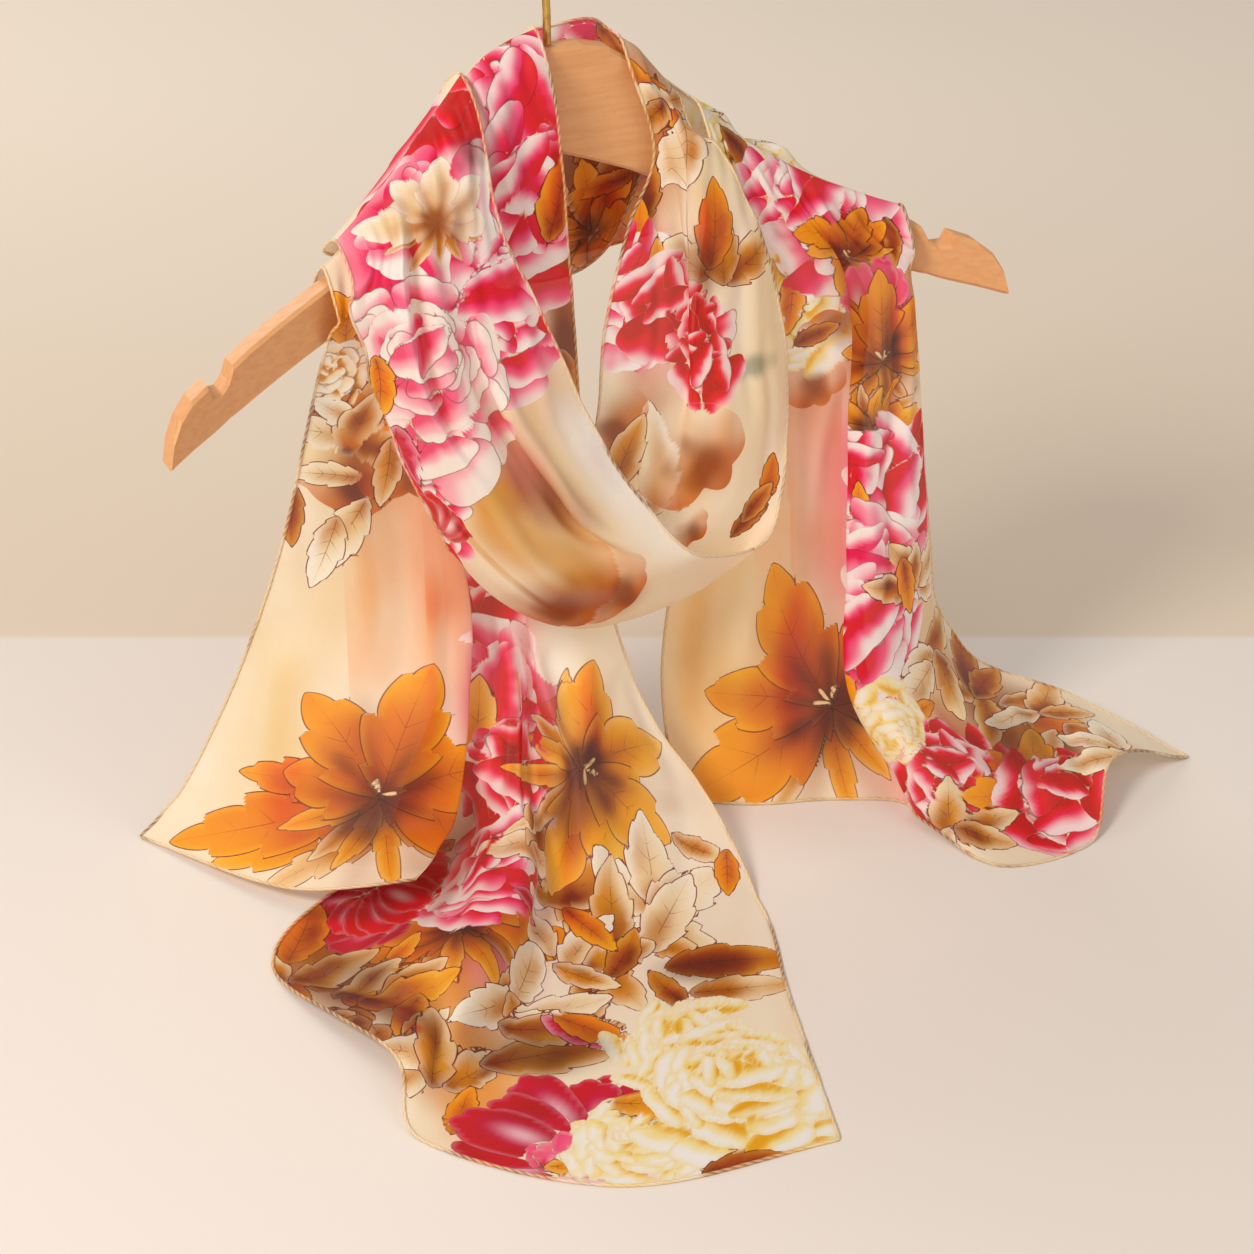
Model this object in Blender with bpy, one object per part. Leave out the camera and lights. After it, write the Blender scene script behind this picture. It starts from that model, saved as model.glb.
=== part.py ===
"""Silk chiffon scarf wound over a wooden clothes hanger, as one set of separate solids.

The scarf is one long band of cloth. It starts at the left tail's end hem, goes up over the left arm of
the hanger, behind the neck, down the front as a loop, over the left arm again, behind the neck once
more and down the right arm as the right tail. Each stretch of the band is its own solid.

Axes: X along the hanger, -Y to the front, +Z up. The origin is the inside top of the hook, where a rail
carries it. The tables below are in centimetres from the middle of the hanger's top edge.
"""

from collections import namedtuple

import bpy
import numpy as np

CM = 0.01

# ---------------------------------------------------------------- driving sizes, in centimetres
HALF_SPAN = 22.25  # middle of the hanger to the tip of an arm
SWEEP = 6.5  # how far the tips come forward of the middle
BOARD_THICKNESS = 1.3
BOARD_BEVEL = 0.18
BEVEL_SHARE = 0.4  # most of the board's height that one bevel takes where the board is thin
BOARD_STEP = 1.7  # longest straight step of the board along an arm
WIRE_DIAMETER = 0.4
WIRE_SIDES = 10
WIRE_RINGS = 44
WIRE_TIP = 0.55  # the end of the wire is drawn in to this share of its diameter
HOOK_RADIUS = 2.1  # to the middle of the wire
HOOK_CENTRE = 6.4  # height of the hook's centre above the hanger's top edge
HOOK_TURN = (-42, 205)  # degrees at which the round of the hook starts and ends, from the right
HANGER_TO_TABLE = 40.5  # height of the hanger's top edge above the table under the tails
CLOTH_WALL = 0.13
SEAM_GAP = 0.03  # left between the hook and the hanger
SHARP_ANGLE = 50  # degrees between two faces above which their edge stays crisp
LAYER_ONE = 1.2  # how far the cloth next to the wood stands off the middle of the board
LAYER_TWO = 1.85  # the same for cloth that lies over another layer
ROUNDING_DROP = 1.2  # how far below its crest the cloth has turned to hang down

ORIGIN_HEIGHT = HOOK_CENTRE + HOOK_RADIUS - WIRE_DIAMETER / 2
TABLE = -HANGER_TO_TABLE

BEECH_COLOUR = (0.62, 0.37, 0.17)
BRASS_COLOUR = (0.72, 0.50, 0.18)
CHIFFON_COLOUR = (0.86, 0.62, 0.40)

# ---------------------------------------------------------------- the hanger's outline
Edge = namedtuple("Edge", "out top bottom")

BOARD_EDGES = (  # one arm, from the middle to the tip; the other mirrors it
    Edge(0.0, 0.0, -5.2),
    Edge(1.6, -0.05, -5.8),
    Edge(3.0, -0.4, -6.35),
    Edge(4.0, -1.1, -6.75),
    Edge(4.6, -2.1, -7.05),
    Edge(5.0, -3.4, -7.25),
    Edge(5.6, -4.6, -7.6),
    Edge(6.6, -5.7, -8.25),
    Edge(8.5, -6.9, -9.4),
    Edge(12.5, -8.9, -11.6),
    Edge(17.3, -10.45, -13.05),
    Edge(18.3, -10.85, -13.35),
    Edge(18.6, -11.5, -13.4),
    Edge(19.1, -11.9, -13.6),
    Edge(19.6, -11.8, -13.75),
    Edge(19.8, -11.25, -13.8),
    Edge(20.8, -11.6, -14.05),
    Edge(21.5, -12.2, -14.25),
    Edge(22.0, -13.1, -14.4),
    Edge(22.25, -14.2, -14.45),
)

Stem = namedtuple("Stem", "across height")

HOOK_STEM = (  # the wire from the hanger's top edge to where the round begins
    Stem(0.0, 0.0),
    Stem(0.0, 1.4),
    Stem(0.02, 2.7),
    Stem(0.45, 3.75),
    Stem(1.05, 4.4),
)

# ---------------------------------------------------------------- the scarf, section by section
# Nine lines run down the whole length of the band: its two hems and seven lines of cloth between them.
LINES = "hem_1 line_2 line_3 line_4 line_5 line_6 line_7 line_8 hem_9"
Crest = namedtuple("Crest", LINES)  # (across, height) where each line crosses the top of the hanger
Level = namedtuple("Level", "height " + LINES)  # one height, and (across, depth) of each line there
Bend = namedtuple("Bend", LINES)  # (across, depth, height) of each line
Floor = namedtuple("Floor", LINES)  # (across, depth, height above the table) of each line
Swag = namedtuple("Swag", LINES)  # lowest height of each line where it passes behind the neck

LEFT_TAIL_END = (  # from the end hem inwards to where the tail leaves the table
    Floor((-22.3, 3.3, 0), (-17.6, -5.6, 0.9), (-12.2, -9.6, 2.2), (-14.8, -6.0, 0.3), (-20.2, -10.6, 0),
          (-18.1, -20.8, 1.2), (-18.8, -26.0, 0), (-12.0, -32.8, 0), (-1.9, -34.2, 0)),
    Floor((-21.5, 3.1, 0.8), (-16.7, -4.8, 1.5), (-11.0, -8.6, 2.2), (-13.0, -4.3, 0.2), (-15.6, -10.2, 0.1),
          (-13.4, -17.8, 2.3), (-13.4, -21.6, 0), (-8.6, -25.6, 0), (1.2, -23.9, 0)),
    Floor((-20.8, 2.9, 1.7), (-15.7, -4.0, 2.1), (-10.0, -7.7, 2.5), (-11.7, -3.3, 0.8), (-10.4, -9.0, 0.8),
          (-8.8, -13.8, 3.2), (-8.0, -16.2, 0.5), (-4.6, -17.6, 0.2), (3.6, -16.6, 0)),
    Floor((-20.0, 2.7, 2.7), (-15.0, -3.3, 3.0), (-8.9, -6.8, 3.0), (-10.6, -3.2, 2.0), (-7.4, -5.4, 2.2),
          (-6.4, -10.0, 3.4), (-5.2, -9.8, 2.0), (-3.4, -12.8, 1.6), (4.2, -9.8, 2.2)),
)
LEFT_TAIL = (  # upwards to the arm
    Level(-36.0, (-19.1, 2.5), (-14.2, -3.0), (-8.2, -6.2), (-9.8, -3.4), (-7.4, -4.9), (-5.6, -7.6),
          (-4.3, -6.8), (-3.0, -10.2), (3.2, -7.2)),
    Level(-31.5, (-17.2, 1.6), (-12.7, -2.5), (-7.2, -5.0), (-7.9, -3.2), (-6.2, -3.2), (-4.4, -4.8),
          (-3.0, -3.9), (-3.1, -5.8), (1.7, -5.1)),
    Level(-27.0, (-15.8, 0.5), (-11.7, -2.1), (-6.6, -4.1), (-7.3, -2.7), (-5.6, -2.1), (-4.1, -2.5),
          (-2.8, -2.8), (-3.4, -4.2), (0.9, -4.0)),
    Level(-22.0, (-14.5, -0.4), (-11.1, -2.0), (-7.2, -3.3), (-7.5, -2.1), (-5.7, -1.7), (-4.2, -1.8),
          (-2.9, -2.1), (-3.1, -3.2), (0.6, -2.9)),
    Level(-17.0, (-13.7, -1.5), (-11.2, -2.4), (-8.3, -3.0), (-7.9, -2.0), (-6.2, -1.6), (-4.7, -1.6),
          (-3.4, -1.8), (-2.8, -2.6), (0.4, -2.3)),
    Level(-11.5, (-13.0, -3.3), (-11.1, -3.1), (-9.1, -2.8), (-7.9, -2.2), (-6.5, -1.9), (-5.2, -1.8),
          (-3.8, -1.8), (-2.1, -2.0), (0.3, -1.7)),
)
LEFT_CREST_INNER = Crest((-12.6, -8.2), (-11.3, -7.5), (-9.9, -6.6), (-8.5, -5.4), (-7.0, -4.0),
                         (-5.4, -2.1), (-3.8, -0.3), (-2.2, 0.5), (-0.6, 0.9))
BACK_INNER = Swag(-12.1, -10.8, -9.4, -8.0, -6.4, -4.8, -3.0, -1.2, 0.4)
RIGHT_CREST_INNER = Crest((6.7, -3.4), (6.4, -3.0), (6.1, -2.6), (5.8, -2.2), (5.4, -1.7),
                          (5.0, -1.2), (4.6, -0.7), (4.2, -0.4), (3.8, -0.2))
LOOP_RIGHT = (  # downwards
    Level(-5.5, (7.8, -2.6), (7.4, -2.9), (6.9, -3.0), (6.3, -3.0), (5.8, -2.8), (5.6, -2.2),
          (5.4, -1.9), (5.2, -1.8), (4.9, -1.6)),
    Level(-9.0, (9.4, -3.5), (8.6, -3.8), (7.6, -3.9), (6.6, -3.8), (5.6, -3.4), (5.9, -2.6),
          (5.1, -2.4), (4.2, -2.3), (3.4, -2.0)),
    Level(-14.0, (10.8, -3.8), (9.7, -4.2), (8.5, -4.4), (7.1, -4.3), (5.7, -3.9), (6.3, -3.0),
          (4.9, -2.9), (3.3, -2.8), (1.8, -2.5)),
    Level(-19.5, (11.4, -3.9), (10.2, -4.6), (8.8, -4.8), (7.3, -4.7), (5.8, -4.3), (5.4, -3.6),
          (4.0, -3.6), (2.4, -3.6), (0.6, -3.5)),
    Level(-24.0, (10.6, -5.0), (9.3, -4.8), (7.8, -5.0), (6.2, -5.0), (4.6, -4.9), (3.0, -4.7),
          (1.2, -4.7), (-0.8, -4.7), (-2.8, -4.8)),
)
LOOP_BOTTOM = Bend((8.2, -6.5, -26.0), (7.2, -5.7, -27.4), (5.2, -5.7, -28.3), (2.8, -5.8, -28.7),
                   (0.0, -5.9, -28.7), (-2.3, -5.9, -28.1), (-4.4, -5.8, -26.9), (-6.2, -5.5, -25.2),
                   (-7.8, -5.1, -23.0))
LOOP_LEFT = (  # upwards
    Bend((4.6, -7.5, -25.0), (3.1, -7.3, -25.7), (1.7, -7.1, -26.5), (0.1, -7.3, -27.0),
         (-1.8, -7.4, -27.0), (-3.8, -7.3, -26.3), (-5.8, -6.9, -24.9), (-7.4, -6.1, -23.3),
         (-8.5, -5.1, -21.5)),
    Bend((2.0, -6.6, -22.0), (-0.4, -7.1, -22.6), (-1.2, -6.6, -23.1), (-2.8, -7.2, -23.5),
         (-4.6, -7.3, -23.2), (-6.3, -7.0, -22.4), (-7.9, -6.3, -21.1), (-9.1, -5.4, -19.8),
         (-9.6, -4.4, -18.8)),
    Bend((0.0, -5.5, -18.3), (-3.6, -6.7, -18.7), (-4.2, -6.2, -19.0), (-5.4, -6.7, -19.0),
         (-6.8, -6.7, -18.6), (-8.1, -6.3, -17.9), (-9.3, -5.6, -17.0), (-10.2, -4.8, -16.2),
         (-10.4, -3.9, -15.8)),
    Bend((-2.2, -4.5, -12.4), (-5.4, -5.4, -13.0), (-6.2, -5.1, -13.2), (-7.2, -5.5, -13.1),
         (-8.3, -5.5, -12.8), (-9.4, -5.3, -12.4), (-10.4, -4.9, -12.0), (-11.2, -4.5, -11.7),
         (-11.5, -4.1, -11.6)),
    Bend((-4.2, -3.2, -6.6), (-5.6, -3.8, -7.2), (-6.6, -4.0, -7.6), (-7.7, -4.2, -8.0),
         (-8.7, -4.3, -8.3), (-9.7, -4.3, -8.6), (-10.6, -4.3, -8.9), (-11.5, -4.3, -9.2),
         (-12.2, -4.2, -9.5)),
)
LEFT_CREST_OUTER = Crest((-4.6, -0.6), (-5.5, -1.6), (-6.4, -2.5), (-7.3, -3.4), (-8.2, -4.3),
                         (-9.1, -5.1), (-10.0, -5.8), (-10.9, -6.5), (-11.8, -7.1))
BACK_OUTER = Swag(-1.6, -3.0, -4.4, -5.8, -7.2, -8.5, -9.7, -10.8, -11.7)
RIGHT_CREST_OUTER = Crest((7.7, -3.9), (8.8, -5.0), (10.0, -6.0), (11.3, -6.9), (12.6, -7.7),
                          (13.9, -8.4), (15.1, -8.9), (16.3, -9.4), (17.5, -9.8))
RIGHT_TAIL = (  # downwards to the table
    Level(-13.0, (7.2, -2.1), (9.7, -2.7), (12.0, -3.2), (15.0, -4.2), (13.9, -5.2), (15.1, -5.8),
          (16.2, -5.9), (17.1, -5.8), (17.5, -5.3)),
    Level(-20.0, (6.5, -2.1), (9.2, -2.7), (11.9, -3.1), (15.5, -4.2), (14.0, -5.6), (15.3, -6.4),
          (16.8, -6.3), (18.2, -5.7), (18.8, -4.6)),
    Level(-28.0, (5.7, -2.5), (8.7, -3.8), (11.6, -4.2), (15.4, -5.4), (13.4, -7.1), (15.0, -8.0),
          (16.8, -7.6), (18.6, -6.5), (19.8, -4.6)),
    Level(-34.5, (4.6, -3.4), (7.9, -5.2), (11.1, -5.8), (14.8, -7.1), (12.7, -9.0), (14.4, -10.0),
          (16.6, -9.3), (19.3, -7.4), (21.2, -4.7)),
    Level(-37.4, (4.4, -4.4), (8.0, -6.5), (11.4, -7.3), (15.0, -8.5), (13.7, -10.4), (15.1, -12.2),
          (18.3, -11.5), (21.3, -8.8), (23.5, -5.7)),
)
RIGHT_TAIL_END = (  # outwards to the end hem
    Floor((4.4, -5.1, 1.8), (8.0, -7.2, 1.8), (11.6, -8.2, 1.8), (15.2, -9.5, 1.8), (14.3, -11.5, 1.7),
          (15.4, -14.4, 0.9), (19.6, -14.8, 1.0), (23.0, -11.6, 2.4), (26.6, -8.7, 2.2)),
    Floor((4.4, -5.7, 0.9), (8.0, -7.8, 0.9), (11.7, -8.9, 0.9), (15.0, -10.5, 0.9), (14.5, -12.6, 0.9),
          (15.8, -16.8, 0.3), (20.6, -17.2, 0.4), (24.3, -13.8, 2.5), (29.0, -11.6, 1.0)),
    Floor((4.4, -6.1, 0), (8.0, -8.2, 0), (11.7, -9.5, 0), (14.8, -11.3, 0), (14.8, -13.6, 0.2),
          (16.3, -18.7, 0), (21.6, -19.0, 0), (25.2, -15.4, 2.2), (31.0, -14.3, 0)),
)

STRETCHES = (
    "left_tail",
    "back_swag_inner",
    "loop_right",
    "loop_left",
    "back_swag_outer",
    "right_tail",
)
STEP_ALONG = 2.4  # longest step of the grid along the band
STEPS_ACROSS = 2  # steps between two neighbouring lines
SEAM_STEP = 0.045  # length of band left out on each side of a seam
LOOP_SEAM_STEP = 0.08  # the same at the bottom of the loop, where the seam runs slantwise
BACK_INNER_DEPTH = 1.4
BACK_OUTER_DEPTH = 2.1
SWAG_REACH = {"inner": (0.42, 0.82), "outer": (0.35, 0.75)}  # where a swag is at its lowest, as shares


def clear_scene():
    for old in list(bpy.data.objects):
        bpy.data.objects.remove(old, do_unlink=True)


def make_material(name, colour, roughness, metallic=0.0):
    material = bpy.data.materials.new(name)
    material.use_nodes = True
    shader = material.node_tree.nodes["Principled BSDF"]
    shader.inputs["Base Color"].default_value = (*colour, 1.0)
    shader.inputs["Roughness"].default_value = roughness
    shader.inputs["Metallic"].default_value = metallic
    return material


def add_object(name, points, faces, material):
    """A mesh object from points in centimetres above the hanger's top edge."""
    placed = np.asarray(points, float) * CM
    placed[:, 2] -= ORIGIN_HEIGHT * CM
    mesh = bpy.data.meshes.new(name)
    mesh.from_pydata(placed.tolist(), [], faces)
    mesh.update()
    mesh.shade_smooth()
    mesh.set_sharp_from_angle(angle=np.radians(SHARP_ANGLE))
    mesh.materials.append(material)
    thing = bpy.data.objects.new(name, mesh)
    bpy.context.scene.collection.objects.link(thing)
    return thing


def board_depth(across):
    """Depth of the middle of the board: it curves forward with the square of the distance out."""
    return -SWEEP * (np.asarray(across) / HALF_SPAN) ** 2


# ---------------------------------------------------------------- smooth curves through sections
def smooth(points, knots, wanted):
    """Cubic curve through points at their knots; its slope at a knot is that of its two neighbours."""
    points = np.asarray(points, float)
    slopes = np.gradient(points, knots, axis=0)
    place = np.clip(np.searchsorted(knots, wanted, side="right") - 1, 0, len(knots) - 2)
    width = knots[place + 1] - knots[place]
    share = (wanted - knots[place]) / width
    shape = (-1,) + (1,) * (points.ndim - 1)
    share = share.reshape(shape)
    width = width.reshape(shape)
    start, end = points[place], points[place + 1]
    leave, arrive = slopes[place] * width, slopes[place + 1] * width
    return (
        start * (2 * share**3 - 3 * share**2 + 1)
        + leave * (share**3 - 2 * share**2 + share)
        + end * (3 * share**2 - 2 * share**3)
        + arrive * (share**3 - share**2)
    )


def crest_sections(crest, lowest, stand_off):
    """Three sections that carry the cloth over the board: in front, on top and behind."""
    across, height = np.array(crest, float).T
    behind = np.maximum(height - ROUNDING_DROP, np.minimum(height, lowest))
    middle = board_depth(across)
    front = np.stack([across, middle - stand_off, height - ROUNDING_DROP], -1)
    top = np.stack([across, middle, height], -1)
    back = np.stack([across, middle + stand_off, behind], -1)
    return front, top, back


def swag_sections(left, right, lowest, depth, reach):
    """Two sections behind the neck, each line at its lowest there, between its two crests."""
    from_x, to_x = np.array(left, float)[:, 0], np.array(right, float)[:, 0]
    for share in reach:
        across = from_x + share * (to_x - from_x)
        yield np.stack([across, np.full(len(across), depth), np.array(lowest, float)], -1)


def level_section(level):
    flat = np.array(level[1:], float)
    return np.column_stack([flat, np.full(len(flat), level.height)])


def floor_section(floor):
    section = np.array(floor, float)
    section[:, 2] += TABLE + CLOTH_WALL / 2
    return section


def scarf_sections():
    """Every section of the band in order, and the section at which each stretch starts."""
    sections, starts = [], {}

    def begin(name):
        starts[name] = len(sections) - 1 if sections else 0

    begin("left_tail")
    sections += [floor_section(row) for row in LEFT_TAIL_END]
    sections += [level_section(row) for row in LEFT_TAIL]
    front, top, back = crest_sections(LEFT_CREST_INNER, BACK_INNER, LAYER_ONE)
    sections += [front, top]
    begin("back_swag_inner")
    sections.append(back)
    sections += swag_sections(
        LEFT_CREST_INNER, RIGHT_CREST_INNER, BACK_INNER, BACK_INNER_DEPTH, SWAG_REACH["inner"]
    )
    front, top, back = crest_sections(RIGHT_CREST_INNER, BACK_INNER, LAYER_ONE)
    sections += [back, top]
    begin("loop_right")
    sections.append(front)
    sections += [level_section(row) for row in LOOP_RIGHT]
    sections.append(np.array(LOOP_BOTTOM, float))
    begin("loop_left")
    sections += [np.array(row, float) for row in LOOP_LEFT]
    front, top, back = crest_sections(LEFT_CREST_OUTER, BACK_OUTER, LAYER_TWO)
    sections += [front, top]
    begin("back_swag_outer")
    sections.append(back)
    sections += swag_sections(
        LEFT_CREST_OUTER, RIGHT_CREST_OUTER, BACK_OUTER, BACK_OUTER_DEPTH, SWAG_REACH["outer"]
    )
    front, top, back = crest_sections(RIGHT_CREST_OUTER, BACK_OUTER, LAYER_ONE)
    sections += [back, top]
    begin("right_tail")
    sections.append(front)
    sections += [level_section(row) for row in RIGHT_TAIL]
    sections += [floor_section(row) for row in RIGHT_TAIL_END]
    return np.array(sections), starts


# ---------------------------------------------------------------- solids
def walled(grid, normal):
    """Points and faces of a closed wall around a grid of points, flat where it lies on the table."""
    front = grid + normal * CLOTH_WALL / 2
    back = grid - normal * CLOTH_WALL / 2
    upper = np.where(normal[..., 2] >= 0, front[..., 2], back[..., 2])
    lower = np.where(normal[..., 2] >= 0, back[..., 2], front[..., 2])
    lower = np.maximum(lower, TABLE)
    upper = np.maximum(upper, lower + CLOTH_WALL * np.abs(normal[..., 2]))
    front[..., 2] = np.where(normal[..., 2] >= 0, upper, lower)
    back[..., 2] = np.where(normal[..., 2] >= 0, lower, upper)
    rows, columns = grid.shape[:2]
    points = np.concatenate([front.reshape(-1, 3), back.reshape(-1, 3)])
    index = np.arange(rows * columns).reshape(rows, columns)
    far = index + rows * columns
    faces = []
    corner = (index[:-1, :-1], index[1:, :-1], index[1:, 1:], index[:-1, 1:])
    faces.append(np.stack(corner, -1).reshape(-1, 4))
    corner = (far[:-1, :-1], far[:-1, 1:], far[1:, 1:], far[1:, :-1])
    faces.append(np.stack(corner, -1).reshape(-1, 4))
    rim = np.concatenate([index[0], index[1:, -1], index[-1, -2::-1], index[-2:0:-1, 0]])
    ahead = np.roll(rim, -1)
    shift = rows * columns
    faces.append(np.stack([rim, ahead, ahead + shift, rim + shift], -1))
    return points, np.concatenate(faces).tolist()


def surface(sections, knots, along, between):
    """Grid of points on the smooth band at the given places along it and across it."""
    lines = np.arange(sections.shape[1], dtype=float)
    rows = smooth(sections, knots, along)
    return smooth(rows.transpose(1, 0, 2), lines, between).transpose(1, 0, 2)


def unit(vectors):
    return vectors / np.linalg.norm(vectors, axis=-1, keepdims=True)


def surface_normals(sections, knots, along, between):
    """Unit directions square to the band: at each grid point the mean of the faces that meet there."""
    beyond = np.concatenate([[along[0] - STEP_ALONG / 2], along, [along[-1] + STEP_ALONG / 2]])
    grid = surface(sections, knots, np.clip(beyond, knots[0], knots[-1]), between)
    across = np.cross(grid[1:, 1:] - grid[:-1, :-1], grid[:-1, 1:] - grid[1:, :-1])
    length = np.linalg.norm(across, axis=-1, keepdims=True)
    faces = across / np.maximum(length, 1e-6)
    faces = np.concatenate([faces[:, :1], faces, faces[:, -1:]], axis=1)
    return unit(faces[:-1, :-1] + faces[1:, :-1] + faces[:-1, 1:] + faces[1:, 1:])


def places_along(knots, first, last, left_out):
    """Steps along one stretch: one more than each section's distance asks for, so that bends stay round."""
    places = []
    for start, end in zip(knots[first:last], knots[first + 1 : last + 1]):
        steps = int(np.ceil((end - start) / STEP_ALONG)) + 1
        places.extend(np.linspace(start, end, steps, endpoint=False))
    places.append(knots[last])
    places[0] += left_out[0]
    places[-1] -= left_out[1]
    return np.array(places)


def build_scarf(material):
    sections, starts = scarf_sections()
    chords = np.linalg.norm(np.diff(sections, axis=0), axis=2).mean(axis=1)
    knots = np.concatenate([[0.0], np.cumsum(chords)])
    last_line = sections.shape[1] - 1
    between = np.linspace(0.0, last_line, last_line * STEPS_ACROSS + 1)
    ends = [starts[name] for name in STRETCHES[1:]] + [len(sections) - 1]
    left_out = [0.0, SEAM_STEP, SEAM_STEP, LOOP_SEAM_STEP, SEAM_STEP, SEAM_STEP, 0.0]
    for place, name in enumerate(STRETCHES):
        along = places_along(knots, starts[name], ends[place], left_out[place : place + 2])
        grid = surface(sections, knots, along, between)
        grid[..., 2] = np.maximum(grid[..., 2], TABLE + CLOTH_WALL / 2)
        points, faces = walled(grid, surface_normals(sections, knots, along, between))
        add_object(name, points, faces, material)


def build_board(material):
    """The hanger's board: a bevelled oblong section carried from tip to tip."""
    edges = np.array(BOARD_EDGES)
    places = [edges[:1, 0]]
    for near, far in zip(edges[:-1, 0], edges[1:, 0]):
        steps = int(np.ceil((far - near) / BOARD_STEP))
        places.append(np.linspace(near, far, steps + 1)[1:])
    wanted = np.concatenate(places)
    top = np.interp(wanted, edges[:, 0], edges[:, 1])
    bottom = np.interp(wanted, edges[:, 0], edges[:, 2])
    across = np.concatenate([-wanted[:0:-1], wanted])
    top = np.concatenate([top[:0:-1], top])
    bottom = np.concatenate([bottom[:0:-1], bottom])
    half = BOARD_THICKNESS / 2
    bevel = np.minimum(BOARD_BEVEL, (top - bottom) * BEVEL_SHARE)
    middle = board_depth(across)
    corners = (
        (half - BOARD_BEVEL, top),
        (half, top - bevel),
        (half, bottom + bevel),
        (half - BOARD_BEVEL, bottom),
        (BOARD_BEVEL - half, bottom),
        (-half, bottom + bevel),
        (-half, top - bevel),
        (BOARD_BEVEL - half, top),
    )
    rings = np.stack([np.stack([across, middle + y, z], -1) for y, z in corners], axis=1)
    count, sides = rings.shape[:2]
    index = np.arange(count * sides).reshape(count, sides)
    turned = np.roll(index, -1, axis=1)
    faces = np.stack([index[1:], turned[1:], turned[:-1], index[:-1]], -1).reshape(-1, 4).tolist()
    faces.append(index[0].tolist())
    faces.append(index[-1, ::-1].tolist())
    add_object("hanger_board", rings.reshape(-1, 3), faces, material)


def hook_path():
    """Middle of the wire: a straight stem, a swing to the right, then most of a circle to the left."""
    angles = np.radians(np.linspace(*HOOK_TURN, 17))
    ring = np.stack([HOOK_RADIUS * np.cos(angles), HOOK_CENTRE + HOOK_RADIUS * np.sin(angles)], -1)
    flat = np.concatenate([HOOK_STEM, ring])
    knots = np.concatenate([[0.0], np.cumsum(np.linalg.norm(np.diff(flat, axis=0), axis=1))])
    fine = smooth(flat, knots, np.linspace(0.0, knots[-1], WIRE_RINGS))
    path = np.column_stack([fine[:, 0], np.zeros(len(fine)), fine[:, 1]])
    path[:, 2] += SEAM_GAP
    return path


def build_hook(material):
    """Round wire along the hook's path, closed by its two end faces, the tip slightly drawn in."""
    path = hook_path()
    way = np.gradient(path, axis=0)
    way /= np.linalg.norm(way, axis=1, keepdims=True)
    side = np.array([0.0, 1.0, 0.0])
    outward = np.cross(way, side)
    turn = np.linspace(0, 2 * np.pi, WIRE_SIDES, endpoint=False)
    radius = np.full(len(path), WIRE_DIAMETER / 2)
    radius[-1] *= WIRE_TIP
    radius = radius[:, None, None]
    rings = path[:, None] + radius * (
        np.cos(turn)[None, :, None] * outward[:, None] + np.sin(turn)[None, :, None] * side
    )
    rings[0, :, 2] = path[0, 2]
    count, sides = rings.shape[:2]
    index = np.arange(count * sides).reshape(count, sides)
    turned = np.roll(index, -1, axis=1)
    faces = np.stack([index[1:], turned[1:], turned[:-1], index[:-1]], -1).reshape(-1, 4).tolist()
    faces.append(index[0].tolist())
    faces.append(index[-1, ::-1].tolist())
    add_object("hook", rings.reshape(-1, 3), faces, material)


def main():
    clear_scene()
    build_board(make_material("beech", BEECH_COLOUR, 0.45))
    build_hook(make_material("brass_wire", BRASS_COLOUR, 0.28, 1.0))
    build_scarf(make_material("silk_chiffon", CHIFFON_COLOUR, 0.5))


main()
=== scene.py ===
"""Silk chiffon scarf on a beech clothes hanger: cloth, rolled hems, wood, brass and the studio.

The scarf is one long band of cloth wound over the hanger. Its shape is a smooth surface through nine lines
that run down the whole band, cut into six stretches, with softer creases laid on top. Its print is made
of petals and leaves that are worked out from formulas and kept as attributes of the cloth.
Lengths in the tables are centimetres from the middle of the hanger's top edge, X along the hanger, -Y to
the front, +Z up. The model itself is in metres from the inside top of the hook.
"""

from collections import namedtuple

import bpy
import numpy as np
from bpy.props import FloatProperty, FloatVectorProperty, PointerProperty
from mathutils import Matrix, Vector


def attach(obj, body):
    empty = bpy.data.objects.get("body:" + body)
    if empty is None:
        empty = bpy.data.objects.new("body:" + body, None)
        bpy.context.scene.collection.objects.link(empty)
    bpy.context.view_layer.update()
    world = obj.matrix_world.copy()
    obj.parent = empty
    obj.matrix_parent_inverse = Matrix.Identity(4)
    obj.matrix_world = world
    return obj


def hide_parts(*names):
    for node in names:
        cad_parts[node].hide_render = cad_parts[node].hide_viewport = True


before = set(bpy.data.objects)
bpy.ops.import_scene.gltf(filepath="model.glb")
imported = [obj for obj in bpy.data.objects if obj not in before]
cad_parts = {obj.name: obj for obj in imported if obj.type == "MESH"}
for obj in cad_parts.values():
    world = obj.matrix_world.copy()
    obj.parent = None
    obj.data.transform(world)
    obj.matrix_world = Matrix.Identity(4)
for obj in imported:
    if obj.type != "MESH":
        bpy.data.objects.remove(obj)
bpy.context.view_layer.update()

bl_info = {
    "name": "Chiffon Scarf on a Hanger",
    "version": (1, 0, 0),
    "blender": (4, 5, 0),
    "location": "3D View > Sidebar > Scarf",
    "description": "A printed silk chiffon scarf wound over a wooden clothes hanger",
    "category": "Add Mesh",
}

CM = 0.01

# ---------------------------------------------------------------- sizes shared with the hanger and the table
HALF_SPAN = 22.25
SWEEP = 6.5
ORIGIN_HEIGHT = 8.3  # inside top of the hook above the hanger's top edge
TABLE = -40.5
LAYER_ONE = 1.2
LAYER_TWO = 1.85
ROUNDING_DROP = 1.2
SHEET_LIFT = 0.05  # the cloth's middle above the table where it lies down
BACK_INNER_DEPTH = 1.4
BACK_OUTER_DEPTH = 2.1
SWAG_REACH = {"inner": (0.42, 0.82), "outer": (0.35, 0.75)}

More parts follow.
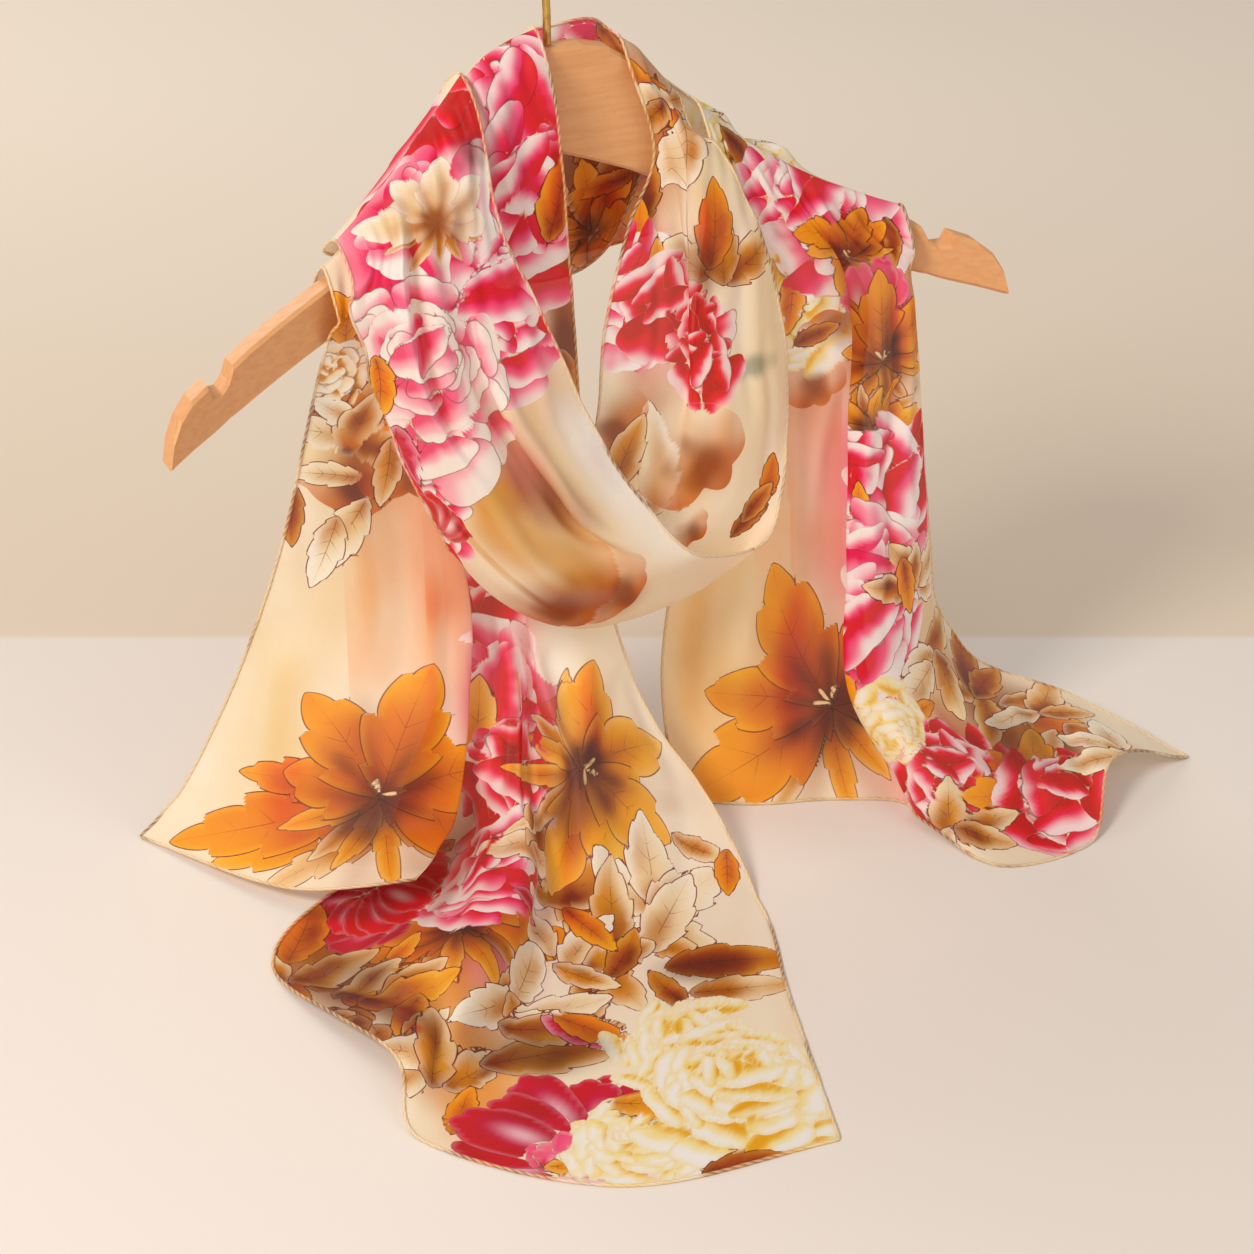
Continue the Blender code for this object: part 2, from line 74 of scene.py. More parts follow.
# ---------------------------------------------------------------- the scarf, section by section
# Nine lines run down the whole length of the band: its two hems and seven lines of cloth between them.
LINES = "hem_1 line_2 line_3 line_4 line_5 line_6 line_7 line_8 hem_9"
Crest = namedtuple("Crest", LINES)  # (across, height) where each line crosses the top of the hanger
Level = namedtuple("Level", "height " + LINES)  # one height, and (across, depth) of each line there
Bend = namedtuple("Bend", LINES)  # (across, depth, height) of each line
Floor = namedtuple("Floor", LINES)  # (across, depth, height above the table) of each line
Swag = namedtuple("Swag", LINES)  # lowest height of each line where it passes behind the neck

LEFT_TAIL_END = (  # from the end hem inwards to where the tail leaves the table
    Floor((-22.3, 3.3, 0), (-17.6, -5.6, 0.9), (-12.2, -9.6, 2.2), (-14.8, -6.0, 0.3), (-20.2, -10.6, 0),
          (-18.1, -20.8, 1.2), (-18.8, -26.0, 0), (-12.0, -32.8, 0), (-1.9, -34.2, 0)),
    Floor((-21.5, 3.1, 0.8), (-16.7, -4.8, 1.5), (-11.0, -8.6, 2.2), (-13.0, -4.3, 0.2), (-15.6, -10.2, 0.1),
          (-13.4, -17.8, 2.3), (-13.4, -21.6, 0), (-8.6, -25.6, 0), (1.2, -23.9, 0)),
    Floor((-20.8, 2.9, 1.7), (-15.7, -4.0, 2.1), (-10.0, -7.7, 2.5), (-11.7, -3.3, 0.8), (-10.4, -9.0, 0.8),
          (-8.8, -13.8, 3.2), (-8.0, -16.2, 0.5), (-4.6, -17.6, 0.2), (3.6, -16.6, 0)),
    Floor((-20.0, 2.7, 2.7), (-15.0, -3.3, 3.0), (-8.9, -6.8, 3.0), (-10.6, -3.2, 2.0), (-7.4, -5.4, 2.2),
          (-6.4, -10.0, 3.4), (-5.2, -9.8, 2.0), (-3.4, -12.8, 1.6), (4.2, -9.8, 2.2)),
)
LEFT_TAIL = (  # upwards to the arm
    Level(-36.0, (-19.1, 2.5), (-14.2, -3.0), (-8.2, -6.2), (-9.8, -3.4), (-7.4, -4.9), (-5.6, -7.6),
          (-4.3, -6.8), (-3.0, -10.2), (3.2, -7.2)),
    Level(-31.5, (-17.2, 1.6), (-12.7, -2.5), (-7.2, -5.0), (-7.9, -3.2), (-6.2, -3.2), (-4.4, -4.8),
          (-3.0, -3.9), (-3.1, -5.8), (1.7, -5.1)),
    Level(-27.0, (-15.8, 0.5), (-11.7, -2.1), (-6.6, -4.1), (-7.3, -2.7), (-5.6, -2.1), (-4.1, -2.5),
          (-2.8, -2.8), (-3.4, -4.2), (0.9, -4.0)),
    Level(-22.0, (-14.5, -0.4), (-11.1, -2.0), (-7.2, -3.3), (-7.5, -2.1), (-5.7, -1.7), (-4.2, -1.8),
          (-2.9, -2.1), (-3.1, -3.2), (0.6, -2.9)),
    Level(-17.0, (-13.7, -1.5), (-11.2, -2.4), (-8.3, -3.0), (-7.9, -2.0), (-6.2, -1.6), (-4.7, -1.6),
          (-3.4, -1.8), (-2.8, -2.6), (0.4, -2.3)),
    Level(-11.5, (-13.0, -3.3), (-11.1, -3.1), (-9.1, -2.8), (-7.9, -2.2), (-6.5, -1.9), (-5.2, -1.8),
          (-3.8, -1.8), (-2.1, -2.0), (0.3, -1.7)),
)
LEFT_CREST_INNER = Crest((-12.6, -8.2), (-11.3, -7.5), (-9.9, -6.6), (-8.5, -5.4), (-7.0, -4.0),
                         (-5.4, -2.1), (-3.8, -0.3), (-2.2, 0.5), (-0.6, 0.9))
BACK_INNER = Swag(-12.1, -10.8, -9.4, -8.0, -6.4, -4.8, -3.0, -1.2, 0.4)
RIGHT_CREST_INNER = Crest((6.7, -3.4), (6.4, -3.0), (6.1, -2.6), (5.8, -2.2), (5.4, -1.7),
                          (5.0, -1.2), (4.6, -0.7), (4.2, -0.4), (3.8, -0.2))
LOOP_RIGHT = (  # downwards
    Level(-5.5, (7.8, -2.6), (7.4, -2.9), (6.9, -3.0), (6.3, -3.0), (5.8, -2.8), (5.6, -2.2),
          (5.4, -1.9), (5.2, -1.8), (4.9, -1.6)),
    Level(-9.0, (9.4, -3.5), (8.6, -3.8), (7.6, -3.9), (6.6, -3.8), (5.6, -3.4), (5.9, -2.6),
          (5.1, -2.4), (4.2, -2.3), (3.4, -2.0)),
    Level(-14.0, (10.8, -3.8), (9.7, -4.2), (8.5, -4.4), (7.1, -4.3), (5.7, -3.9), (6.3, -3.0),
          (4.9, -2.9), (3.3, -2.8), (1.8, -2.5)),
    Level(-19.5, (11.4, -3.9), (10.2, -4.6), (8.8, -4.8), (7.3, -4.7), (5.8, -4.3), (5.4, -3.6),
          (4.0, -3.6), (2.4, -3.6), (0.6, -3.5)),
    Level(-24.0, (10.6, -5.0), (9.3, -4.8), (7.8, -5.0), (6.2, -5.0), (4.6, -4.9), (3.0, -4.7),
          (1.2, -4.7), (-0.8, -4.7), (-2.8, -4.8)),
)
LOOP_BOTTOM = Bend((8.2, -6.5, -26.0), (7.2, -5.7, -27.4), (5.2, -5.7, -28.3), (2.8, -5.8, -28.7),
                   (0.0, -5.9, -28.7), (-2.3, -5.9, -28.1), (-4.4, -5.8, -26.9), (-6.2, -5.5, -25.2),
                   (-7.8, -5.1, -23.0))
LOOP_LEFT = (  # upwards
    Bend((4.6, -7.5, -25.0), (3.1, -7.3, -25.7), (1.7, -7.1, -26.5), (0.1, -7.3, -27.0),
         (-1.8, -7.4, -27.0), (-3.8, -7.3, -26.3), (-5.8, -6.9, -24.9), (-7.4, -6.1, -23.3),
         (-8.5, -5.1, -21.5)),
    Bend((2.0, -6.6, -22.0), (-0.4, -7.1, -22.6), (-1.2, -6.6, -23.1), (-2.8, -7.2, -23.5),
         (-4.6, -7.3, -23.2), (-6.3, -7.0, -22.4), (-7.9, -6.3, -21.1), (-9.1, -5.4, -19.8),
         (-9.6, -4.4, -18.8)),
    Bend((0.0, -5.5, -18.3), (-3.6, -6.7, -18.7), (-4.2, -6.2, -19.0), (-5.4, -6.7, -19.0),
         (-6.8, -6.7, -18.6), (-8.1, -6.3, -17.9), (-9.3, -5.6, -17.0), (-10.2, -4.8, -16.2),
         (-10.4, -3.9, -15.8)),
    Bend((-2.2, -4.5, -12.4), (-5.4, -5.4, -13.0), (-6.2, -5.1, -13.2), (-7.2, -5.5, -13.1),
         (-8.3, -5.5, -12.8), (-9.4, -5.3, -12.4), (-10.4, -4.9, -12.0), (-11.2, -4.5, -11.7),
         (-11.5, -4.1, -11.6)),
    Bend((-4.2, -3.2, -6.6), (-5.6, -3.8, -7.2), (-6.6, -4.0, -7.6), (-7.7, -4.2, -8.0),
         (-8.7, -4.3, -8.3), (-9.7, -4.3, -8.6), (-10.6, -4.3, -8.9), (-11.5, -4.3, -9.2),
         (-12.2, -4.2, -9.5)),
)
LEFT_CREST_OUTER = Crest((-4.6, -0.6), (-5.5, -1.6), (-6.4, -2.5), (-7.3, -3.4), (-8.2, -4.3),
                         (-9.1, -5.1), (-10.0, -5.8), (-10.9, -6.5), (-11.8, -7.1))
BACK_OUTER = Swag(-1.6, -3.0, -4.4, -5.8, -7.2, -8.5, -9.7, -10.8, -11.7)
RIGHT_CREST_OUTER = Crest((7.7, -3.9), (8.8, -5.0), (10.0, -6.0), (11.3, -6.9), (12.6, -7.7),
                          (13.9, -8.4), (15.1, -8.9), (16.3, -9.4), (17.5, -9.8))
RIGHT_TAIL = (  # downwards to the table
    Level(-13.0, (7.2, -2.1), (9.7, -2.7), (12.0, -3.2), (15.0, -4.2), (13.9, -5.2), (15.1, -5.8),
          (16.2, -5.9), (17.1, -5.8), (17.5, -5.3)),
    Level(-20.0, (6.5, -2.1), (9.2, -2.7), (11.9, -3.1), (15.5, -4.2), (14.0, -5.6), (15.3, -6.4),
          (16.8, -6.3), (18.2, -5.7), (18.8, -4.6)),
    Level(-28.0, (5.7, -2.5), (8.7, -3.8), (11.6, -4.2), (15.4, -5.4), (13.4, -7.1), (15.0, -8.0),
          (16.8, -7.6), (18.6, -6.5), (19.8, -4.6)),
    Level(-34.5, (4.6, -3.4), (7.9, -5.2), (11.1, -5.8), (14.8, -7.1), (12.7, -9.0), (14.4, -10.0),
          (16.6, -9.3), (19.3, -7.4), (21.2, -4.7)),
    Level(-37.4, (4.4, -4.4), (8.0, -6.5), (11.4, -7.3), (15.0, -8.5), (13.7, -10.4), (15.1, -12.2),
          (18.3, -11.5), (21.3, -8.8), (23.5, -5.7)),
)
RIGHT_TAIL_END = (  # outwards to the end hem
    Floor((4.4, -5.1, 1.8), (8.0, -7.2, 1.8), (11.6, -8.2, 1.8), (15.2, -9.5, 1.8), (14.3, -11.5, 1.7),
          (15.4, -14.4, 0.9), (19.6, -14.8, 1.0), (23.0, -11.6, 2.4), (26.6, -8.7, 2.2)),
    Floor((4.4, -5.7, 0.9), (8.0, -7.8, 0.9), (11.7, -8.9, 0.9), (15.0, -10.5, 0.9), (14.5, -12.6, 0.9),
          (15.8, -16.8, 0.3), (20.6, -17.2, 0.4), (24.3, -13.8, 2.5), (29.0, -11.6, 1.0)),
    Floor((4.4, -6.1, 0), (8.0, -8.2, 0), (11.7, -9.5, 0), (14.8, -11.3, 0), (14.8, -13.6, 0.2),
          (16.3, -18.7, 0), (21.6, -19.0, 0), (25.2, -15.4, 2.2), (31.0, -14.3, 0)),
)


def board_depth(across):
    """Depth of the middle of the board: it curves forward with the square of the distance out."""
    return -SWEEP * (np.asarray(across) / HALF_SPAN) ** 2


# ---------------------------------------------------------------- smooth curves through sections
def smooth(points, knots, wanted):
    """Cubic curve through points at their knots; its slope at a knot is that of its two neighbours."""
    points = np.asarray(points, float)
    slopes = np.gradient(points, knots, axis=0)
    place = np.clip(np.searchsorted(knots, wanted, side="right") - 1, 0, len(knots) - 2)
    width = knots[place + 1] - knots[place]
    share = (wanted - knots[place]) / width
    shape = (-1,) + (1,) * (points.ndim - 1)
    share = share.reshape(shape)
    width = width.reshape(shape)
    start, end = points[place], points[place + 1]
    leave, arrive = slopes[place] * width, slopes[place + 1] * width
    return (
        start * (2 * share**3 - 3 * share**2 + 1)
        + leave * (share**3 - 2 * share**2 + share)
        + end * (3 * share**2 - 2 * share**3)
        + arrive * (share**3 - share**2)
    )


def crest_sections(crest, lowest, stand_off):
    """Three sections that carry the cloth over the board: in front, on top and behind."""
    across, height = np.array(crest, float).T
    behind = np.maximum(height - ROUNDING_DROP, np.minimum(height, lowest))
    middle = board_depth(across)
    front = np.stack([across, middle - stand_off, height - ROUNDING_DROP], -1)
    top = np.stack([across, middle, height], -1)
    back = np.stack([across, middle + stand_off, behind], -1)
    return front, top, back


def swag_sections(left, right, lowest, depth, reach):
    """Two sections behind the neck, each line at its lowest there, between its two crests."""
    from_x, to_x = np.array(left, float)[:, 0], np.array(right, float)[:, 0]
    for share in reach:
        across = from_x + share * (to_x - from_x)
        yield np.stack([across, np.full(len(across), depth), np.array(lowest, float)], -1)


def level_section(level):
    flat = np.array(level[1:], float)
    return np.column_stack([flat, np.full(len(flat), level.height)])


def floor_section(floor):
    section = np.array(floor, float)
    section[:, 2] += TABLE + SHEET_LIFT
    return section


def scarf_sections():
    """Every section of the band in order, and the section at which each stretch starts."""
    sections, starts = [], {}

    def begin(name):
        starts[name] = len(sections) - 1 if sections else 0

    begin("left_tail")
    sections += [floor_section(row) for row in LEFT_TAIL_END]
    sections += [level_section(row) for row in LEFT_TAIL]
    front, top, back = crest_sections(LEFT_CREST_INNER, BACK_INNER, LAYER_ONE)
    sections += [front, top]
    begin("back_swag_inner")
    sections.append(back)
    sections += swag_sections(
        LEFT_CREST_INNER, RIGHT_CREST_INNER, BACK_INNER, BACK_INNER_DEPTH, SWAG_REACH["inner"]
    )
    front, top, back = crest_sections(RIGHT_CREST_INNER, BACK_INNER, LAYER_ONE)
    sections += [back, top]
    begin("loop_right")
    sections.append(front)
    sections += [level_section(row) for row in LOOP_RIGHT]
    sections.append(np.array(LOOP_BOTTOM, float))
    begin("loop_left")
    sections += [np.array(row, float) for row in LOOP_LEFT]
    front, top, back = crest_sections(LEFT_CREST_OUTER, BACK_OUTER, LAYER_TWO)
    sections += [front, top]
    begin("back_swag_outer")
    sections.append(back)
    sections += swag_sections(
        LEFT_CREST_OUTER, RIGHT_CREST_OUTER, BACK_OUTER, BACK_OUTER_DEPTH, SWAG_REACH["outer"]
    )
    front, top, back = crest_sections(RIGHT_CREST_OUTER, BACK_OUTER, LAYER_ONE)
    sections += [back, top]
    begin("right_tail")
    sections.append(front)
    sections += [level_section(row) for row in RIGHT_TAIL]
    sections += [floor_section(row) for row in RIGHT_TAIL_END]
    return np.array(sections), starts


def surface(sections, knots, along, between):
    """Grid of points on the smooth band at the given places along it and across it."""
    lines = np.arange(sections.shape[1], dtype=float)
    rows = smooth(sections, knots, along)
    return smooth(rows.transpose(1, 0, 2), lines, between).transpose(1, 0, 2)


def unit(vectors):
    return vectors / np.linalg.norm(vectors, axis=-1, keepdims=True)


# ---------------------------------------------------------------- camera
VIEW_PIXELS = 1254  # the view is square; places in it are pixels to the right and down
CAMERA_YAW = 26.22  # degrees to the side; the left arm is nearer
CAMERA_PITCH = 30.0
CAMERA_DISTANCE = 1.6985
CAMERA_AIM = (0.0423, 0.0, -0.4125)
CAMERA_LENS = 91.87
SENSOR_WIDTH = 36.0
YAW, PITCH = np.radians(CAMERA_YAW), np.radians(CAMERA_PITCH)
FORWARD = np.array([np.sin(YAW) * np.cos(PITCH), np.cos(YAW) * np.cos(PITCH), -np.sin(PITCH)])
RIGHTWARD = np.array([np.cos(YAW), -np.sin(YAW), 0.0])
UPWARD = np.cross(RIGHTWARD, FORWARD)
CAMERA_PLACE = np.array(CAMERA_AIM) - FORWARD * CAMERA_DISTANCE
CLIP_START = 0.05
CLIP_END = 50.0
NEAR_PIXELS = 5.0  # points this close to a place in the view are seen there


def in_model(points):
    """Centimetres above the hanger's top edge to metres from the top of the hook."""
    placed = np.asarray(points, float) * CM
    placed[..., 2] -= ORIGIN_HEIGHT * CM
    return placed


def view_places(points):
    """Where points are seen: pixels to the right, pixels down, and how far in front of the camera."""
    away = in_model(points) - CAMERA_PLACE
    depth = away @ FORWARD
    scale = CAMERA_LENS / SENSOR_WIDTH * VIEW_PIXELS / depth
    return VIEW_PIXELS / 2 + scale * (away @ RIGHTWARD), VIEW_PIXELS / 2 - scale * (away @ UPWARD), depth


def seen_at(view, x, y):
    """Number of the point that is seen at a place: the nearest to the camera of those within NEAR_PIXELS
    of it, or else the closest one."""
    across, down, depth = view
    away = np.hypot(across - x, down - y)
    near = np.flatnonzero(away < NEAR_PIXELS)
    if len(near):
        return near[depth[near].argmin()]
    return away.argmin()


# ---------------------------------------------------------------- how finely each stretch is drawn
Drawn = namedtuple("Drawn", "name step flat area held")

STRETCHES = (  # steps in centimetres, then the flat width and length of what shows and its area, in metres
    Drawn("left_tail", 0.145, (0.60, 0.50), 0.139, "hung"),
    Drawn("back_swag_inner", 0.2, (0.12, 0.18), 0.020, "hung"),
    Drawn("loop_right", 0.13, (0.11, 0.29), 0.029, "gathered"),
    Drawn("loop_left", 0.13, (0.125, 0.26), 0.030, "gathered"),
    Drawn("back_swag_outer", 0.2, (0.11, 0.26), 0.027, "hung"),
    Drawn("right_tail", 0.145, (0.40, 0.40), 0.078, "hung"),
)
SHOWN_BEHIND = ("back_swag_outer",)
SEAM_STEP = 0.015  # length of band left out on each side of a seam
ROUGH_ROWS = 25  # rows that are measured to see how wide a stretch is
WIDE_ROW = 0.7  # share of them that are narrower than the one that sets the steps across it
LEAST_STEPS = 4
HEM_STEP = 0.28
HEM_SIDES = 8
GATHERED_AT_START = ("loop_right", "right_tail")
GATHERED_AT_END = ("left_tail", "loop_left")
GATHER_LENGTH = 7.0
GATHER_PITCH = 1.7
GATHER_START = 2.0  # they reach their full height this far from where the stretch starts
FINER_GATHERS = (0.6, 0.57)  # height and pitch of a second set, as shares of those of the first
SEAM_FADE = 1.5  # creases and gathers fade out this close to a seam (cm)

# Waves: how far they swing and their length, in centimetres.
GATHER_WANDER = (0.8, 11.0)
CREASE_WANDER = (0.35, 9.0)
HEM_WAVE = (0.07, 3.6)
HEM_WAVE_REACH = 1.6  # how far in from the hems they reach
UNEVENNESS = (0.05, 5.5)
HEM_UNEVENNESS = (0.14, 1.1)  # here the swing is a share of the hem's radius

# ---------------------------------------------------------------- soft creases
# Each crease runs between two places of the camera's view, or of the flat cloth in centimetres for the
# stretches that are SHOWN_BEHIND. reach is how far it spreads to each side and height how far it stands
# proud, in centimetres.
Crease = namedtuple("Crease", "x y to_x to_y reach height")

CREASES = {
    "left_tail": (
        (345, 310, 300, 640, 0.8, 0.22), (365, 340, 350, 700, 0.7, -0.22), (395, 480, 390, 740, 0.8, 0.24),
        (430, 560, 440, 760, 0.7, -0.22), (452, 600, 458, 800, 0.6, 0.27), (260, 640, 200, 800, 1.4, 0.27),
        (310, 640, 280, 860, 1.2, -0.24), (485, 620, 482, 790, 0.45, 0.33), (505, 620, 502, 800, 0.45, -0.33),
        (525, 650, 520, 830, 0.45, 0.33), (543, 690, 500, 980, 0.9, 0.48), (470, 800, 455, 960, 0.8, -0.38),
        (556, 640, 580, 750, 0.7, 0.42), (590, 650, 600, 780, 0.7, -0.3), (630, 640, 690, 800, 0.8, 0.21),
        (560, 780, 540, 960, 1, -0.33), (620, 780, 590, 1000, 1.2, 0.24), (690, 800, 650, 960, 1, 0.21),
        (740, 860, 790, 1080, 1, 0.24), (560, 960, 500, 1100, 1.2, 0.3), (640, 980, 620, 1150, 1.4, 0.21),
        (300, 940, 420, 1000, 0.8, 0.33), (330, 985, 430, 1050, 0.7, -0.3), (420, 960, 440, 1090, 0.8, 0.39),
        (505, 70, 480, 230, 0.4, -0.2), (520, 60, 530, 260, 0.45, 0.22), (545, 60, 555, 260, 0.4, -0.18),
    ),
    "back_swag_inner": (
        (585, 180, 632, 186, 0.5, 0.3), (585, 205, 630, 212, 0.6, -0.35), (585, 228, 628, 236, 0.6, 0.35),
    ),
    "loop_right": (
        (655, 150, 640, 400, 0.4, 0.22), (668, 120, 690, 336, 0.3, 0.3), (692, 140, 712, 340, 0.4, -0.24),
        (735, 200, 758, 430, 0.5, 0.21), (715, 300, 715, 500, 0.6, -0.21), (660, 400, 700, 520, 0.6, 0.22),
        (770, 330, 760, 500, 0.4, 0.18),
    ),
    "loop_left": (
        (398, 205, 462, 470, 0.35, 0.5), (409, 205, 474, 470, 0.4, -0.45), (375, 250, 440, 520, 0.35, 0.2),
        (430, 230, 520, 520, 0.7, 0.24), (488, 356, 648, 556, 0.4, 0.38), (477, 366, 636, 567, 0.42, -0.42),
        (450, 440, 590, 610, 0.8, 0.3), (430, 500, 560, 620, 0.5, -0.24), (460, 130, 440, 260, 0.4, 0.21),
        (500, 260, 560, 420, 0.5, 0.21),
    ),
    "back_swag_outer": (
        (2, -4.2, 34, -3.2, 0.55, 0.5), (4, -2.4, 30, -1.6, 0.5, -0.45), (1, -0.6, 33, 0.4, 0.6, 0.55),
        (6, 1.4, 35, 2, 0.5, -0.45), (3, 3, 31, 3.8, 0.55, 0.5), (2, 5.4, 26, 5, 0.6, -0.3),
    ),
    "right_tail": (
        (700, 180, 690, 420, 0.6, 0.22), (755, 190, 760, 520, 0.7, -0.24), (800, 200, 805, 560, 0.6, 0.22),
        (760, 540, 745, 760, 1, 0.22), (700, 560, 700, 760, 0.9, -0.21), (812, 560, 800, 760, 0.8, -0.22),
        (862, 240, 868, 640, 0.35, 0.27), (880, 240, 890, 660, 0.4, -0.3), (903, 260, 915, 560, 0.4, 0.24),
        (880, 700, 980, 850, 0.7, 0.33), (930, 680, 1010, 790, 0.8, -0.3), (1000, 690, 1060, 830, 0.9, 0.38),
        (1060, 720, 1100, 800, 0.7, -0.3),
    ),
}


def rows_of(kind, table, name):
    """The rows of a table for one stretch, with their columns named."""
    return [kind(*row) for row in table.get(name, ())]


def band():
    """The whole band: its sections, each section's distance along it, and where each stretch starts."""
    sections, starts = scarf_sections()
    chords = np.linalg.norm(np.diff(sections, axis=0), axis=2).mean(axis=1)
    return sections, np.concatenate([[0.0], np.cumsum(chords)]), starts


SECTIONS, KNOTS, STARTS = band()


def reach_of(name):
    """Distances along the band at which a stretch starts and ends."""
    names = [row.name for row in STRETCHES]
    place = names.index(name)
    first = KNOTS[STARTS[name]]
    last = KNOTS[-1] if place + 1 == len(names) else KNOTS[STARTS[names[place + 1]]]
    return first, last


def drawn_places(row):
    """Even steps along the stretch, and steps across it as close together as its widest rows ask for."""
    first, last = reach_of(row.name)
    names = [each.name for each in STRETCHES]
    if row.name != names[0]:
        first += SEAM_STEP
    if row.name != names[-1]:
        last -= SEAM_STEP
    along = np.linspace(first, last, int(np.ceil((last - first) / row.step)) + 1)
    lines = np.arange(float(SECTIONS.shape[1]))
    rough = surface(SECTIONS, KNOTS, np.linspace(first, last, ROUGH_ROWS), lines)
    widths = np.quantile(np.linalg.norm(np.diff(rough, axis=1), axis=2), WIDE_ROW, axis=0)
    across = [np.zeros(1)]
    for line, width in enumerate(widths):
        steps = max(LEAST_STEPS, int(np.ceil(width / row.step)))
        across.append(line + np.linspace(0.0, 1.0, steps + 1)[1:])
    return along, np.concatenate(across)


def grid_normals(grid):
    """Unit directions square to a grid: the cross of its two steps, worked out with wide differences."""
    down = np.gradient(grid, axis=0)
    over = np.gradient(grid, axis=1)
    return unit(np.cross(down, over))


def flat_places(grid):
    """Where each point lies on the cloth before it is hung: its distance along its own line from the
    first row, and its distance across its own row from the middle line."""
    steps = np.linalg.norm(np.diff(grid, axis=0), axis=2)
    along = np.concatenate([np.zeros((1, grid.shape[1])), np.cumsum(steps, axis=0)])
    steps = np.linalg.norm(np.diff(grid, axis=1), axis=2)
    across = np.concatenate([np.zeros((grid.shape[0], 1)), np.cumsum(steps, axis=1)], axis=1)
    middle = across.shape[1] // 2
    return along, across - across[:, middle : middle + 1]


def ripple(first, second, seed, length):
    """Soft uneven waves between -1 and 1: five crossing cosines of about the given length, their
    directions and phases drawn from the seed."""
    draw = np.random.default_rng(seed)
    total = np.zeros_like(first)
    for _ in range(5):
        turn = draw.uniform(0.0, 2 * np.pi)
        scale = 2 * np.pi / (length * draw.uniform(0.75, 1.5))
        phase = draw.uniform(0.0, 2 * np.pi)
        total += np.cos(scale * (first * np.cos(turn) + second * np.sin(turn)) + phase)
    return total / 5


def ease(low, high, value):
    """0 below low, 1 above high, and a smooth rise between them."""
    share = np.clip((value - low) / (high - low), 0.0, 1.0)
    return share * share * (3.0 - 2.0 * share)


def crease_heights(row, grid, flat):
    """Height of the laid-on creases: each is a soft ridge or trough round a wandering line, highest in
    the middle of its length and gone at both ends."""
    flat_along, flat_across = flat
    view = view_places(grid.reshape(-1, 3))
    wander = CREASE_WANDER[0] * ripple(flat_along, flat_across, seed=11, length=CREASE_WANDER[1])
    height = np.zeros_like(flat_along)
    for crease in rows_of(Crease, CREASES, row.name):
        ends = np.array([crease[:2], crease[2:4]], float)
        if row.name not in SHOWN_BEHIND:
            found = [seen_at(view, *place) for place in ends]
            ends = np.column_stack([flat_along.ravel()[found], flat_across.ravel()[found]])
        from_place, way = ends[0], ends[1] - ends[0]
        length = np.hypot(*way)
        ahead, beside = flat_along - from_place[0], flat_across - from_place[1]
        share = (ahead * way[0] + beside * way[1]) / length**2
        aside = (beside * way[0] - ahead * way[1]) / length + wander
        taper = ease(-0.05, 0.25, share) * (1.0 - ease(0.7, 1.05, share))
        height += crease.height * np.exp(-((aside / crease.reach) ** 2)) * taper
    return height


def gathers(row, along, flat, tall):
    """Small folds that run down from the hanger where the cloth is bunched: cosines across the cloth
    that die away with the distance from it."""
    first, last = along[0], along[-1]
    if row.name in GATHERED_AT_START:
        away = along - first
    elif row.name in GATHERED_AT_END:
        away = last - along
    else:
        return np.zeros_like(flat[0])
    fade = ease(0.0, GATHER_START, away) * np.exp(-away / GATHER_LENGTH)
    wander = GATHER_WANDER[0] * ripple(flat[0], 0.4 * flat[1], seed=17, length=GATHER_WANDER[1])
    folds = np.cos(2 * np.pi * (flat[1] + wander) / GATHER_PITCH)
    finer = FINER_GATHERS[1] * GATHER_PITCH
    folds += FINER_GATHERS[0] * np.cos(2 * np.pi * (flat[1] - wander) / finer + 1.0)
    return tall * fade[:, None] * folds


def hem_waves(flat):
    """Slight waves that grow towards the two long hems."""
    flat_along, flat_across = flat
    inwards = np.minimum(flat_across - flat_across[:, :1], flat_across[:, -1:] - flat_across)
    near = np.exp(-((inwards / HEM_WAVE_REACH) ** 2))
    return HEM_WAVE[0] * near * ripple(flat_along, 0.3 * flat_across, seed=23, length=HEM_WAVE[1])


Cloth = namedtuple("Cloth", "grid smooth height flat")


def drawn_cloth(row, tall):
    """Points of a stretch: the smooth band, then creases, gathers, hem waves and a slight unevenness, all
    laid on square to it, and nothing below the table."""
    along, across = drawn_places(row)
    smooth_grid = surface(SECTIONS, KNOTS, along, across)
    smooth_grid[..., 2] = np.maximum(smooth_grid[..., 2], TABLE + SHEET_LIFT)
    flat = flat_places(smooth_grid)
    height = crease_heights(row, smooth_grid, flat) + gathers(row, along, flat, tall) + hem_waves(flat)
    height += UNEVENNESS[0] * ripple(*flat, seed=31, length=UNEVENNESS[1])
    first, last = along[0], along[-1]
    if row.name != STRETCHES[0].name:
        height *= ease(0.0, SEAM_FADE, along - first)[:, None]
    if row.name != STRETCHES[-1].name:
        height *= ease(0.0, SEAM_FADE, last - along)[:, None]
    grid = smooth_grid + grid_normals(smooth_grid) * height[..., None]
    grid[..., 2] = np.maximum(grid[..., 2], TABLE + SHEET_LIFT)
    return Cloth(grid, smooth_grid, height, flat)


# ---------------------------------------------------------------- meshes
def grid_faces(rows, columns, round_too=False):
    """Four corners of each face of a grid; round_too joins the last column to the first."""
    index = np.arange(rows * columns).reshape(rows, columns)
    if round_too:
        index = np.concatenate([index, index[:, :1]], axis=1)
    corners = (index[:-1, :-1], index[1:, :-1], index[1:, 1:], index[:-1, 1:])
    return np.stack(corners, -1).reshape(-1, 4)


